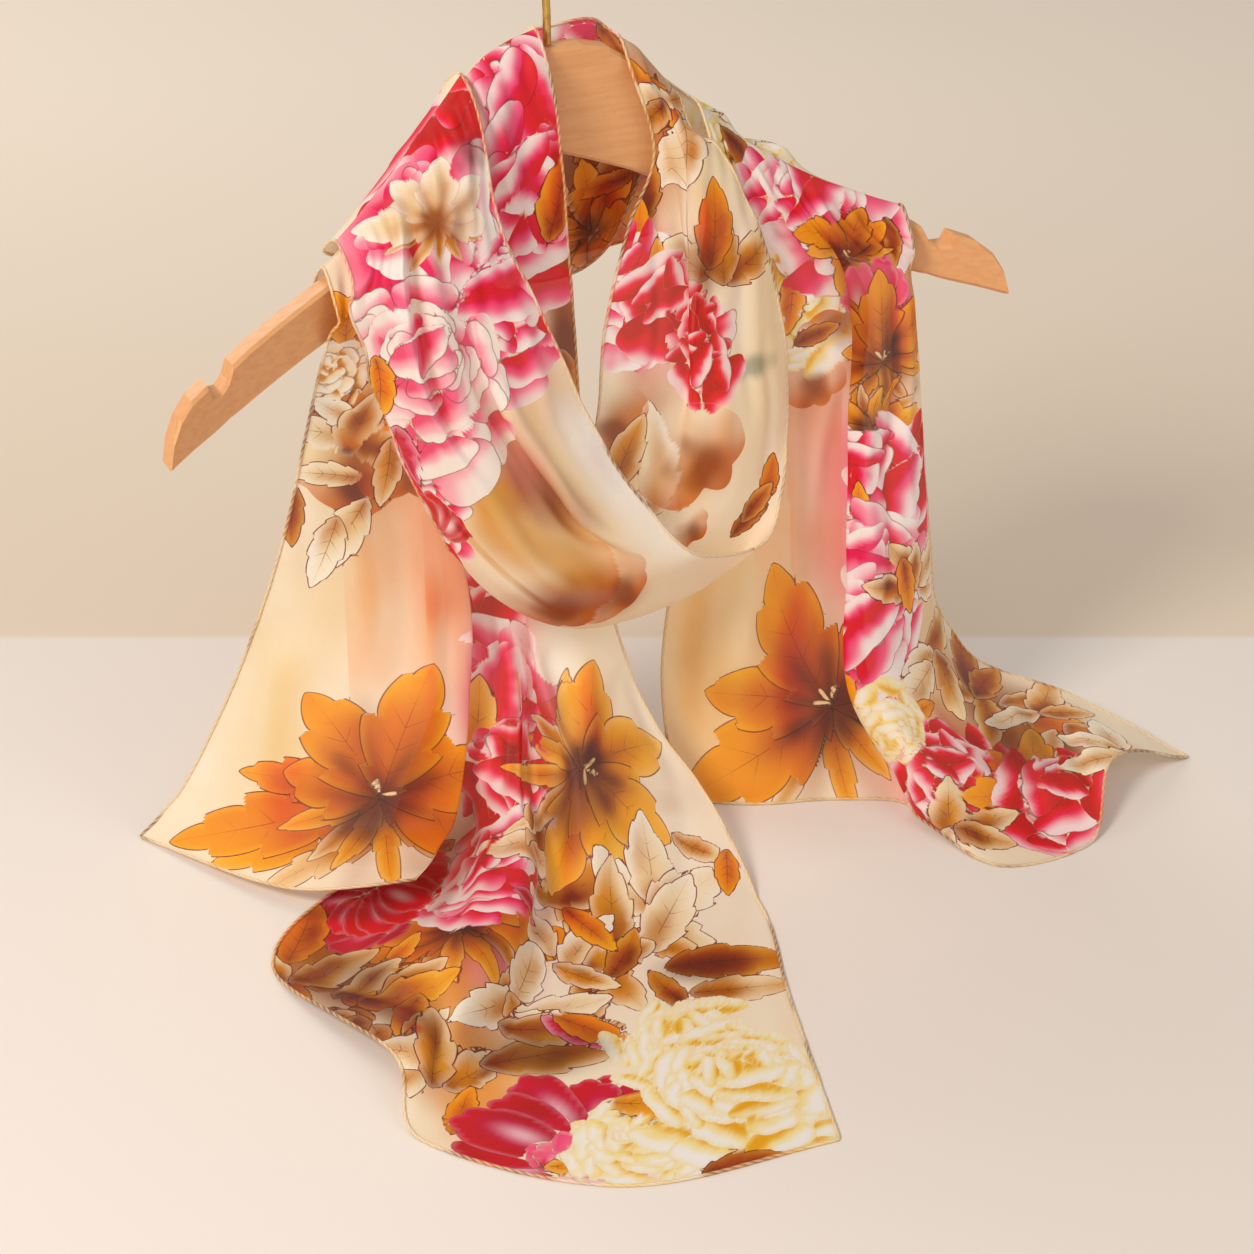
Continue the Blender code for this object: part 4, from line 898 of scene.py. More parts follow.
class Print:
    """The print of one stretch, kept at every point of its cloth."""

    def __init__(self, row, cloth, ground):
        self.hidden = row.name in SHOWN_BEHIND
        grid = cloth.smooth
        self.shape = grid.shape[:2]
        self.along, self.across = cloth.flat[0].ravel(), cloth.flat[1].ravel()
        self.height = cloth.height.ravel()
        self.points = grid.reshape(-1, 3)
        self.view = view_places(cloth.grid.reshape(-1, 3))
        over, down = np.diff(grid, axis=1), np.diff(grid, axis=0)
        self.normal = grid_normals(grid)
        self.over_length = np.linalg.norm(over, axis=2)
        self.down_length = np.linalg.norm(down, axis=2)
        self.over_turn = turn_between(over[:, :-1], over[:, 1:], self.normal[:, 1:-1])
        self.down_turn = turn_between(down[:-1], down[1:], self.normal[1:-1])
        self.over_way, self.down_way = np.gradient(grid, axis=1), np.gradient(grid, axis=0)
        self.corner = turn_between(self.over_way, self.down_way, self.normal)
        count = len(self.points)
        self.ground = np.tile(np.array(ground), (count, 1))
        self.ink = [self.ground.copy() for _ in range(LAYERS)]
        self.edge = [np.ones(count) for _ in range(LAYERS)]
        self.line = np.zeros(count)
        self.vein = np.tile((NO_VEIN, NO_VEIN, 0.0), (count, 1))
        # Where the cloth is glossy. The material also shows this as a painted sheen.
        self.satin = np.zeros(count)

    def spot(self, mark):
        """Number of the point that a row of a table names, and the way that it faces: the angle, within
        the cloth, from across to the second place of the row."""
        if self.hidden:
            found = np.argmin((self.along - mark.x) ** 2 + (self.across - mark.y) ** 2)
            aim = np.argmin((self.along - mark.to_x) ** 2 + (self.across - mark.to_y) ** 2)
        else:
            found, aim = seen_at(self.view, mark.x, mark.y), seen_at(self.view, mark.to_x, mark.to_y)
        side, ahead = self.frame_at(found)
        way = self.points[aim] - self.points[found]
        return found, float(np.arctan2(way @ ahead, way @ side))

    def frame_at(self, found):
        """Unit directions across the cloth and square to that within it, at a point."""
        i, j = np.unravel_index(found, self.shape)
        side = unit(self.over_way[i, j])
        return side, unit(np.cross(self.normal[i, j], side))

    def local(self, found, turn, reach):
        """Points within reach of a point of the cloth, with their distances from it along and across a
        turned axis. The cloth is rolled out flat round the point: first its row, then every column from
        that row, each step keeping its length and each bend within the cloth its angle."""
        i, j = np.unravel_index(found, self.shape)
        flat_way = np.concatenate([[0.0], np.cumsum(self.over_turn[i])])
        step = self.over_length[i] * np.exp(1j * flat_way)
        row = np.concatenate([[0.0], np.cumsum(step)])
        way_down = np.concatenate([np.zeros((1, self.shape[1])), np.cumsum(self.down_turn, axis=0)])
        last = min(i, self.shape[0] - 2)
        way_down -= way_down[last]
        way_down += flat_way[np.minimum(np.arange(self.shape[1]), self.shape[1] - 2)] + self.corner[i]
        column = np.concatenate(
            [np.zeros((1, self.shape[1])), np.cumsum(self.down_length * np.exp(1j * way_down), axis=0)]
        )
        place = column - column[i] + row - row[j]
        place = place * np.exp(-1j * (flat_way[min(j, self.shape[1] - 2)] + turn))
        place = place.ravel()
        beside, ahead = self.along - self.along[found], self.across - self.across[found]
        close = (np.maximum(np.abs(beside), np.abs(ahead)) < FOLD_REACH * reach) & (np.abs(place) < reach)
        straight = np.linalg.norm(self.points - self.points[found], axis=1)
        index = np.flatnonzero(close & (straight < ROLL_SLACK[0] * np.abs(place) + ROLL_SLACK[1]))
        return index, place.real[index], place.imag[index]

    def around(self, motif, reach):
        """The points round a motif's place, seen from there towards its second place."""
        return self.local(*self.spot(motif), reach)

    def wet(self, mark):
        """Points and strength of a wet patch: an oval that fades outwards, its rim wandering. Distances
        are straight ones, so that it stays smooth where the cloth is bunched."""
        found, turn = self.spot(mark)
        side, ahead = self.frame_at(found)
        first = side * np.cos(turn) + ahead * np.sin(turn)
        second = ahead * np.cos(turn) - side * np.sin(turn)
        away = self.points - self.points[found]
        x, y = away @ first, away @ second
        rest = np.linalg.norm(away - x[:, None] * first - y[:, None] * second, axis=1)
        broad = max(mark.length, mark.width)
        close = np.hypot(self.along - self.along[found], self.across - self.across[found]) < 2.2 * broad
        rim = np.sqrt((x / mark.length) ** 2 + (y / mark.width) ** 2 + (0.5 * rest / mark.width) ** 2)
        rim = rim + WET_WANDER * ripple(x, y, seed=int(100 * mark.length), length=0.9 * broad)
        index = np.flatnonzero(close & (rim < WET_RIM))
        return index, mark.strength * ease(WET_RIM, WET_CORE, rim[index])

    def shown(self, index=slice(None)):
        """The colour that shows so far: the ground, or the ink whose shape the point lies in."""
        shade = self.ground[index].copy()
        for ink, edge in zip(self.ink, self.edge):
            inside = edge[index] < 0.0
            shade[inside] = ink[index][inside]
        return shade

    def wash_and_painted_light(self, index, share, hue):
        """Tints the bare ground. Most tints are print colour, and a few are painted highlights and painted
        shadows.
        """
        self.ground[index] += (np.array(linear(hue)) - self.ground[index]) * share[:, None]

    def stain_and_painted_shadow(self, index, share, hue):
        """Tints the ground and every ink on it, as a wet wash over dry colour does. It also lays a painted
        shadow over the print.
        """
        for colours in (self.ground, *self.ink):
            colours[index] += (np.array(linear(hue)) - colours[index]) * share[:, None]

    def lay(self, index, distance, tint, line=1.0, veins=None):
        """Lays one shape over all before it: it goes to the ink layer that is emptiest round its outline,
        and is cut out of the others."""
        rim = np.abs(distance) < CUT_MARGIN
        crowd = [(self.edge[layer][index[rim]] < 0.05).sum() for layer in range(LAYERS)]
        chosen = int(np.argmin(crowd))
        for layer in range(LAYERS):
            kept = np.maximum(self.edge[layer][index], -distance)
            if layer == chosen:
                fresh = distance < np.minimum(CUT_MARGIN, self.edge[layer][index])
                self.ink[layer][index[fresh]] = tint[fresh]
                kept = np.minimum(kept, distance)
            self.edge[layer][index] = kept
        self.line[index[distance < LINE_REACH]] = line
        if veins is None:
            self.vein[index[distance < 0.0]] = (NO_VEIN, NO_VEIN, 0.0)
        else:
            inside = distance < CUT_MARGIN
            gate = ease(0.1, 0.2, -distance)
            self.vein[index[inside]] = np.stack([*veins, gate], -1)[inside]

    def deepen(self):
        """Turns the colours as they should look into the stronger ones that the silk is printed with. It also
        adds painted shade in the troughs of the folds and painted light on their ridges.
        """
        self.ground = deepened(self.ground, self.height)
        self.ink = [deepened(ink, self.height) for ink in self.ink]

    def values(self):
        """Every attribute that the material reads."""
        found = {"ground": self.ground, "line": self.line, "vein": self.vein, "satin": self.satin}
        for layer in range(LAYERS):
            found[f"ink_{layer}"] = self.ink[layer]
            found[f"edge_{layer}"] = self.edge[layer]
        return found


def turn_between(first, second, normal):
    """Angle from one direction to the next within the cloth, about its normal."""
    first = first - normal * (first * normal).sum(-1, keepdims=True)
    second = second - normal * (second * normal).sum(-1, keepdims=True)
    return np.arctan2((np.cross(first, second) * normal).sum(-1), (first * second).sum(-1))


def blended(shade, share):
    """Colour along root, middle and tip of a shade, by share from 0 to 1."""
    base, middle, tip = (np.array(linear(code)) for code in shade[:3])
    share = np.clip(share, 0.0, 1.0)[:, None]
    first = base + (middle - base) * ease(0.0, 0.5, share)
    return first + (tip - first) * ease(0.45, 1.0, share)


def deepened(tint, height):
    """A stronger colour: further from its own grey. Painted shade makes it deeper in the troughs of the
    folds, and painted light makes it paler on their ridges."""
    grey = tint.mean(axis=1, keepdims=True)
    strong = np.clip((grey + DEEPER * (tint - grey)) * DARKER, LEAST_COLOUR, 1.0)
    power = ALL_DEPTH + TROUGH_PAINTED_SHADE * ease(0.0, FULL_DEPTH, -height)
    power -= RIDGE_LIGHT * ease(0.0, FULL_DEPTH, height)
    return strong ** power[:, None]


def towards(tint, hue, share):
    """Moves colours towards one hue by a share for each point."""
    return tint + (np.array(linear(hue)) - tint) * np.clip(share, 0.0, 1.0)[:, None]


def turned(x, y, root, angle):
    """The same places seen from a root: across and along a direction."""
    cosine, sine = np.cos(angle), np.sin(angle)
    along = (x - root[0]) * cosine + (y - root[1]) * sine
    return (y - root[1]) * cosine - (x - root[0]) * sine, along


# ---------------------------------------------------------------- petals
Petal = namedtuple("Petal", "length width lobes notch")
FULL_TURN = 6.28


def petal_distance(across, along, petal, draw):
    """A petal: an egg, widest past the middle, whose rim is a run of round lobes with sharp notches (the
    size of a cosine, strongest at the tip). The implicit egg value over the length of its slope gives
    the distance."""
    h = along / (petal.length / 2) - 1.0
    w = across / (petal.width / 2 * (1.0 + 0.35 * np.clip(h, -1.0, 1.0)))
    radius = np.hypot(w, h)
    angle = np.arctan2(w, h)
    tip = 0.3 + 0.7 * np.exp(-((angle / 1.2) ** 2))
    crowded = angle + 0.25 * np.sin(2 * angle)
    lobes = np.abs(np.cos(petal.lobes / 2 * crowded + draw.uniform(0, FULL_TURN / 2)))
    rim = 1.0 + petal.notch * (lobes - 0.65) * tip + 0.04 * np.cos(3 * angle + draw.uniform(0, FULL_TURN))
    slope = np.hypot(w / (petal.width / 2), h / (petal.length / 2)) / np.maximum(radius, 1e-3)
    return (radius - rim) / np.maximum(slope, 1e-3)


def petal_tint(shade, across, along, petal, distance, tone, draw):
    """Petal colour: deep at the root, watery in the middle and pale over its outer part, with streaks
    that fan out from the root and one paler flank."""
    fan = np.arctan2(across, along + 0.35 * petal.length)
    share = (along / petal.length - 0.36) / 0.46 + draw.uniform(-0.4, 0.4) * across / petal.width
    share = share + 0.3 * ripple(along, across, draw.integers(1000), 0.9 * petal.length) + tone
    share = share + 0.05 * np.cos(draw.uniform(10, 16) * fan + draw.uniform(0, FULL_TURN))
    share = share + draw.uniform(-0.3, 0.3)
    tint = towards(blended(shade, share), shade.rim, ease(0.7, 1.25, share))
    return towards(tint, shade.edge, 0.75 * ease(-0.25, 0.0, distance)) if shade.edge else tint


# A ring of petals: its radius and their length as shares of the flower's size, their number, and their
# width beside the room they have. In a flower, lobes is the fewest that a petal has, and lined the share of
# petals that are outlined.
Ring = namedtuple("Ring", "radius length count broad")
Flower = namedtuple("Flower", "rings lobes notch lined")

PEONY_RINGS = (
    Ring(0.70, 0.62, 7, 1.4),
    Ring(0.48, 0.60, 6, 1.4),
    Ring(0.27, 0.52, 5, 1.4),
    Ring(0.08, 0.42, 3, 1.3),
)
SMALL_RINGS = (Ring(0.55, 0.8, 6, 1.4), Ring(0.15, 0.6, 3, 1.4))
MUM_RINGS = (
    Ring(0.78, 0.46, 15, 1.2),
    Ring(0.62, 0.46, 14, 1.2),
    Ring(0.45, 0.42, 12, 1.2),
    Ring(0.30, 0.38, 9, 1.2),
    Ring(0.16, 0.32, 6, 1.2),
    Ring(0.04, 0.26, 3, 1.2),
)
POMPON_RINGS = (
    Ring(0.82, 0.34, 16, 1.5),
    Ring(0.68, 0.34, 15, 1.5),
    Ring(0.54, 0.32, 13, 1.5),
    Ring(0.40, 0.32, 10, 1.5),
    Ring(0.26, 0.30, 8, 1.5),
    Ring(0.10, 0.26, 5, 1.4),
)
FLOWERS = {
    "peony": Flower(PEONY_RINGS, 5, 0.15, 0.3),  # broad petals with notched tips
    "rosette": Flower(SMALL_RINGS, 5, 0.15, 0.3),  # a small peony
    "mum": Flower(MUM_RINGS, 3, 0.12, 0.7),  # many short petals
    "pompon": Flower(POMPON_RINGS, 4, 0.13, 0.0),  # a ball of small round petals without outlines
}
LINED_PETAL = 0.6  # strength of a petal's outline
MORE_LOBES = 3  # a petal has up to this many lobes more than the fewest


def flower(paint, motif, form, draw):
    """A flower of overlapping rings of petals, drawn from the outside in. The inner rings lie towards the
    place that the motif points to, so that the petals fan out from there."""
    shade, size = SHADES[motif.shade], motif.size
    index, x, y = paint.around(motif, 1.5 * size)
    tone = 0.35 * ripple(x, y, draw.integers(1000), 1.2 * size) + (0.25 if shade.edge else 0.0)
    drift = draw.uniform(-0.6, 0.6)
    for ring in form.rings:
        start = draw.uniform(0, FULL_TURN)
        shift = 0.7 * size * (0.7 - ring.radius)
        for place in draw.permutation(ring.count):
            angle = start + 2 * np.pi * (place + draw.uniform(-0.35, 0.35)) / ring.count
            inner = size * ring.radius * draw.uniform(0.7, 1.2)
            long = size * ring.length * draw.uniform(0.7, 1.35) * (1.0 - 0.25 * np.cos(angle - drift))
            room = 2 * np.pi * max(inner + 0.6 * long, 0.2 * size) / ring.count
            wide = room * ring.broad * draw.uniform(0.75, 1.3)
            petal = Petal(long, wide, form.lobes + draw.integers(MORE_LOBES + 1), form.notch)
            off = inner - long * 0.3
            root = (off * np.cos(angle) + shift * np.cos(drift), off * np.sin(angle) + shift * np.sin(drift))
            across, along = turned(x, y, root, angle + draw.uniform(-0.6, 0.6))
            near = np.hypot(along - long / 2, across) < 0.85 * max(long, petal.width) + 0.4
            if not near.any():
                continue
            across, along = across[near], along[near]
            distance = petal_distance(across, along, petal, draw)
            tint = petal_tint(shade, across, along, petal, distance, tone[near], draw)
            paint.lay(index[near], distance, tint, LINED_PETAL if draw.uniform() < form.lined else 0.0)


CUP_SPREADS = (1.3, -1.25, 0.95, -0.9, 0.55, -0.5, 0.2, -0.2)  # lean of each petal, outer ones first
CUP_LOBES = 7
CUP_NOTCH = 0.12
FAINT_LINE = 0.25


def bloom(paint, motif, draw):
    """A half-open peony seen from the side: a cup of big smooth petals from one root, outer ones first,
    deep red at their rims and streaked with white up the middle."""
    shade, size = SHADES[motif.shade], motif.size
    index, x, y = paint.around(motif, 1.6 * size)
    for spread in CUP_SPREADS:
        lean = 0.75 * spread + draw.uniform(-0.12, 0.12)
        long = size * (1.75 - 0.35 * abs(spread)) * draw.uniform(0.8, 1.12)
        petal = Petal(long, size * 0.8, CUP_LOBES, CUP_NOTCH)
        root = (-0.85 * size, 0.28 * size * spread)
        across, along = turned(x, y, root, lean)
        distance = petal_distance(across, along, petal, draw)
        share = 0.42 * along / petal.length + 0.3 * ripple(along, across, draw.integers(1000), 1.2 * size)
        ahead = along / petal.length - draw.uniform(0.36, 0.52)
        beside = across / petal.width - draw.uniform(-0.12, 0.12)
        streak = np.exp(-((ahead / 0.2) ** 2) - (beside / 0.16) ** 2)
        tint = towards(blended(shade, share), shade.rim, streak * draw.uniform(0.55, 1.0))
        tint = towards(tint, shade.rim, 0.25 * ease(-0.2, -0.01, distance))
        near = distance < 2 * CUT_MARGIN
        paint.lay(index[near], distance[near], tint[near], FAINT_LINE)


def blot(paint, motif, draw):
    """A wet blot: a lobed patch, dark in the middle, crisp on the side that it points to and lost in the
    ground on the other."""
    shade, size = SHADES[motif.shade], motif.size
    index, x, y = paint.around(motif, 1.8 * size)
    angle = np.arctan2(y, x)
    lobes = np.abs(np.cos(2.5 * angle + 1.2 * np.sin(angle + draw.uniform(0, FULL_TURN))))
    rim = 0.9 + 0.16 * (lobes - 0.7) * ease(0.0, 0.6, x / size)
    rim = size * (rim + 0.25 * ripple(x, y, seed=83, length=1.6 * size))
    distance = np.hypot(x, 0.8 * y) - rim
    depth = ease(-0.6, 1.1, x / size + 0.3 * ripple(x, y, draw.integers(1000), size))
    tint = towards(paint.shown(index), shade.middle, 0.9 * depth)
    core = np.hypot(x / size - 0.35, y / (0.9 * size))
    core = core + 0.3 * ripple(x, y, draw.integers(1000), 0.8 * size)
    tint = towards(tint, shade.base, 0.75 * ease(0.85, 0.1, core))
    near = distance < CUT_MARGIN
    paint.lay(index[near], distance[near], tint[near], 0.0)


# ---------------------------------------------------------------- leaves
# core says how much darker a leaf is along its midrib than at its rim, wet how strong its dark patch is.
Leaf = namedtuple("Leaf", "length width bend teeth notch core wet")
# The same for a kind of leaf: its width lies between two shares of its length, its bend is the most it has.
LeafForm = namedtuple("LeafForm", "narrowest widest bend teeth notch core wet")

LEAVES = {
    "leaf": LeafForm(0.36, 0.46, 0.2, 4.0, 0.26, 0.3, 0.7),  # broad
    "finger": LeafForm(0.24, 0.3, 0.08, 5.0, 0.45, 0.1, 0.3),  # long and narrow with deep teeth
}
CLUSTER_LEAF = LeafForm(0.42, 0.58, 0.25, 4.0, 0.3, 0.25, 1.0)


def leaf_distance(across, along, leaf, draw):
    """A leaf, pointed at both ends: its half width is a sine of the way along, times a run of round teeth
    that lean towards the tip (a root of the fraction of a count), not quite alike on its two sides."""
    share = np.clip(along / leaf.length, 0.0, 1.0)
    half = leaf.width / 2 * np.sin(np.pi * share**0.85) ** 0.75
    left, right = draw.uniform(0, 1, 2)
    run = leaf.teeth * share
    tooth = np.where(across > 0, run + left, 0.85 * run + right) % 1.0
    half = half * (1.0 + leaf.notch * (tooth**0.6 - 0.7))
    side = (np.abs(across) - half) / np.hypot(1.0, (0.9 + 1.5 * leaf.notch) * leaf.width / leaf.length)
    return np.maximum(side, np.maximum(along - leaf.length, -along))


def leaf_shape(paint, spots, root, angle, leaf, shade, draw, line=1.0):
    """One leaf with its midrib and a few side veins, curved to one side."""
    index, x, y = spots
    across, along = turned(x, y, root, angle)
    near = np.hypot(along - leaf.length / 2, across) < 0.75 * leaf.length + 0.4
    if not near.any():
        return
    across, along = across[near], along[near]
    across = across - leaf.bend * leaf.length * np.clip(along / leaf.length, 0, 1.2) ** 2
    distance = leaf_distance(across, along, leaf, draw)
    share = (1.0 - leaf.core) * along / leaf.length + 2.0 * leaf.core * np.abs(across) / leaf.width
    share += 0.25 * ripple(along, across, draw.integers(1000), 0.6 * leaf.length)
    tint = blended(shade, share * draw.uniform(0.9, 1.25) + 0.08)
    ahead = along / leaf.length - draw.uniform(0.25, 0.6)
    beside = across / leaf.width - draw.uniform(-0.22, 0.22)
    patch = np.exp(-((ahead / 0.24) ** 2) - (beside / 0.22) ** 2)
    tint = towards(tint, shade.base, patch * leaf.wet * draw.uniform(0.5, 1.0))
    edge = ease(-0.3 * min(leaf.width, 1.5), -0.02, distance)
    tint = towards(tint, shade.rim, edge * draw.uniform(0.2, 0.6))
    # The side veins are the zeros of a sine that slants forward. Distances grow where a vein thins out.
    pitch = 0.34 * leaf.length
    side = pitch / (2 * np.pi) * np.sin(2 * np.pi * (along - 0.9 * np.abs(across)) / pitch)
    thinning = ease(0.12, 0.4, np.abs(across) / leaf.width) + ease(0.6, 0.85, along / leaf.length)
    veins = (across * (1.0 + 3.0 * thinning), side * (1.0 + 9.0 * thinning))
    paint.lay(index[near], distance, tint, line, veins)


def formed_leaf(form, length, draw):
    """A leaf of a kind, its width and bend drawn within the kind's bounds."""
    wide = draw.uniform(form.narrowest, form.widest) * length
    return Leaf(length, wide, draw.uniform(-form.bend, form.bend), *form[3:])


def lone_leaf(paint, motif, form, draw):
    """A single leaf, its root at its place."""
    spots = paint.around(motif, 1.3 * motif.size)
    leaf_shape(paint, spots, (0.0, 0.0), 0.0, formed_leaf(form, motif.size, draw), SHADES[motif.shade], draw)


CLUSTER_SPREADS = (1.9, -1.7, 0.95, -0.8, 0.1)
CLUSTER_SHADES = {
    "tan": ("tan", "cream", "tan", "cream", "tan"),
    "brown": ("brown", "tan", "brown", "orange", "tan"),
    "cream": ("cream", "cream", "tan", "cream", "cream"),
    "golden": ("golden", "orange", "golden", "tan", "golden"),
}


def cluster(paint, motif, draw):
    """Outlined leaves that fan out and overlap, in mixed shades."""
    size = motif.size
    spots = paint.around(motif, 1.7 * size)
    for spread, shade in zip(CLUSTER_SPREADS, CLUSTER_SHADES[motif.shade]):
        root = (draw.uniform(-0.35, 0.15) * size, draw.uniform(-0.2, 0.2) * size)
        leaf = formed_leaf(CLUSTER_LEAF, size * draw.uniform(0.85, 1.25), draw)
        leaf_shape(paint, spots, root, spread + draw.uniform(-0.3, 0.3), leaf, SHADES[shade], draw)


# Angle and length of each leaf of a spray: the narrow ones behind, then the broad ones.
NARROW_LEAVES = ((2.75, 0.9), (-2.6, 0.75), (3.3, 0.7), (2.2, 1.0), (-2.1, 0.85))
BROAD_LEAVES = ((1.65, 1.25), (-1.5, 0.85), (0.95, 1.0), (-0.8, 0.95), (0.15, 1.05))
# How a spray of a shade is finished: its narrow leaves, strength of its outlines, heart, and stamens.
Finish = namedtuple("Finish", "narrow narrow_line line around heart stamens")
BRIGHT_SPRAY = Finish("golden", 0.8, 0.9, "#9A4A20", "#4A1710", 4)
PALE_SPRAY = Finish("tan", 0.1, 0.1, "#B4703C", "#8A4A20", 0)
STAMEN = "#F3DDB6"
STAMEN_SIZE = (0.13, 0.028)  # length and width, as shares of the spray's size


def spray(paint, motif, draw):
    """Broad toothed leaves from one root with narrow ones behind, a dark wet heart that runs out along
    them in streaks, and pale stamens."""
    shade, size = SHADES[motif.shade], motif.size
    finish = PALE_SPRAY if motif.shade == "cream" else BRIGHT_SPRAY
    spots = paint.around(motif, 1.7 * size)
    index, x, y = spots
    for place, (spread, share) in enumerate(NARROW_LEAVES):
        leaf = Leaf(size * share, 0.2 * size, draw.uniform(-0.2, 0.2), 3.0, 0.3, 0.3, 0.6)
        hue = SHADES["tan" if place % 2 else finish.narrow]
        leaf_shape(paint, spots, (0.0, 0.0), spread, leaf, hue, draw, finish.narrow_line)
    for spread, share in BROAD_LEAVES:
        length = size * share * draw.uniform(0.9, 1.1)
        wide = draw.uniform(0.55, 0.72) * size
        leaf = Leaf(length, wide, draw.uniform(-0.2, 0.2), 3.4, 0.42, 0.1, 0.25)
        angle = spread + draw.uniform(-0.12, 0.12)
        leaf_shape(paint, spots, (0.0, 0.0), angle, leaf, shade, draw, finish.line)
    streak = 0.2 * np.cos(9.0 * np.arctan2(y, x) + draw.uniform(0, FULL_TURN))
    far = np.hypot(x, y) / size * (1.0 + streak) + 0.2 * ripple(x, y, draw.integers(1000), 0.5 * size)
    paint.stain_and_painted_shadow(index, 0.55 * ease(0.85, 0.15, far), finish.around)
    paint.stain_and_painted_shadow(index, 0.85 * ease(0.42, 0.05, far), finish.heart)
    for _ in range(finish.stamens):
        across, along = turned(x, y, (0.02 * size, 0.0), draw.uniform(-1.4, 1.4))
        stamen = Petal(STAMEN_SIZE[0] * size, STAMEN_SIZE[1] * size, 2, 0.0)
        distance = petal_distance(across, along, stamen, draw)
        near = distance < 0.5
        paint.lay(index[near], distance[near], np.tile(linear(STAMEN), (near.sum(), 1)), 0.3)


PANEL_STRENGTH = 0.62


def panel(paint, motif, draw):
    """A straight-sided strip where a second layer of cloth shows through, from the row's first place to
    its second, twice the size wide. Its colour is the ground, tinted."""
    found, turn = paint.spot(motif)
    aim = seen_at(paint.view, motif.to_x, motif.to_y)
    length = np.linalg.norm(paint.points[aim] - paint.points[found])
    index, x, y = paint.local(found, turn, 1.3 * length)
    distance = np.maximum(np.abs(y) - motif.size, np.abs(x - length / 2) - length / 2)
    near = distance < CUT_MARGIN
    fade = ease(0.0, 0.3 * length, x) * ease(length, 0.7 * length, x)
    fade = fade * (0.8 + 0.5 * ripple(x, y, seed=61, length=4.0))
    tint = towards(paint.shown(index), SHADES[motif.shade].middle, PANEL_STRENGTH * fade)
    paint.lay(index[near], distance[near], tint[near], 0.0)


OTHER_KINDS = {"bloom": bloom, "blot": blot, "spray": spray, "cluster": cluster, "panel": panel}


def paint_motif(paint, motif, draw):
    """Lays one motif of any kind."""
    if motif.kind in FLOWERS:
        flower(paint, motif, FLOWERS[motif.kind], draw)
    elif motif.kind in LEAVES:
        lone_leaf(paint, motif, LEAVES[motif.kind], draw)
    else:
        OTHER_KINDS[motif.kind](paint, motif, draw)


def printed(row, cloth, colours):
    """The print of a stretch. Washes come first, a few of them painted highlights and shadows. Then motif
    over motif, then the stains over both, one of them a painted shadow. Then the glossy places, which the
    material also pales as a painted sheen. Last, the colours are deepened, with painted shade in the troughs
    of the folds and painted light on their ridges."""
    paint = Print(row, cloth, colours.ground)
    for mark in rows_of(Wash, WASHES_AND_PAINTED_LIGHT, row.name):
        paint.wash_and_painted_light(*paint.wet(mark), mark.hue)
    for place, motif in enumerate(rows_of(Motif, MOTIFS, row.name)):
        paint_motif(paint, motif, np.random.default_rng((FIRST_SEED, place)))
    for mark in rows_of(Wash, STAINS_AND_PAINTED_SHADOW, row.name):
        paint.stain_and_painted_shadow(*paint.wet(mark), mark.hue)
    for mark in rows_of(Gloss, GLOSS_AND_PAINTED_SHEEN, row.name):
        index, share = paint.wet(mark)
        paint.satin[index] = np.maximum(paint.satin[index], share)
    paint.deepen()
    return paint


# ---------------------------------------------------------------- materials
SMOOTH = {"interpolation_type": "SMOOTHSTEP"}
TINTS = {"data_type": "RGBA"}
INK_SOFTNESS = 0.02  # half the width over which an ink fades out at its edge (cm)
LINE_WANDER = 0.02  # how far a drawn line swells and thins, from thinnest to widest (cm)


def linear(code):
    """Linear red, green and blue of an sRGB hex colour."""
    values = np.array([int(code[place : place + 2], 16) for place in (1, 3, 5)]) / 255
    low = values / 12.92
    high = ((values + 0.055) / 1.055) ** 2.4
    return tuple(np.where(values <= 0.04045, low, high).tolist())


def colour(code):
    return (*linear(code), 1.0)


def new_material(name):
    """An empty material, its nodes, and the input that its surface is linked to."""
    material = bpy.data.materials.new(name)
    material.use_nodes = True
    tree = material.node_tree
    tree.nodes.clear()
    return material, tree, tree.nodes.new("ShaderNodeOutputMaterial").inputs["Surface"]


def add(tree, kind, inputs, output=0, **settings):
    """Adds a node and gives back one of its outputs. Its inputs come in their order, or by name or number
    where they are a dict; one that is an output of another node is linked, and any other is set."""
    node = tree.nodes.new("ShaderNode" + kind)
    for key, value in settings.items():
        setattr(node, key, value)
    for key, value in inputs.items() if isinstance(inputs, dict) else enumerate(inputs):
        if isinstance(value, bpy.types.NodeSocket):
            tree.links.new(value, node.inputs[key])
        else:
            node.inputs[key].default_value = value
    return node.outputs[output]


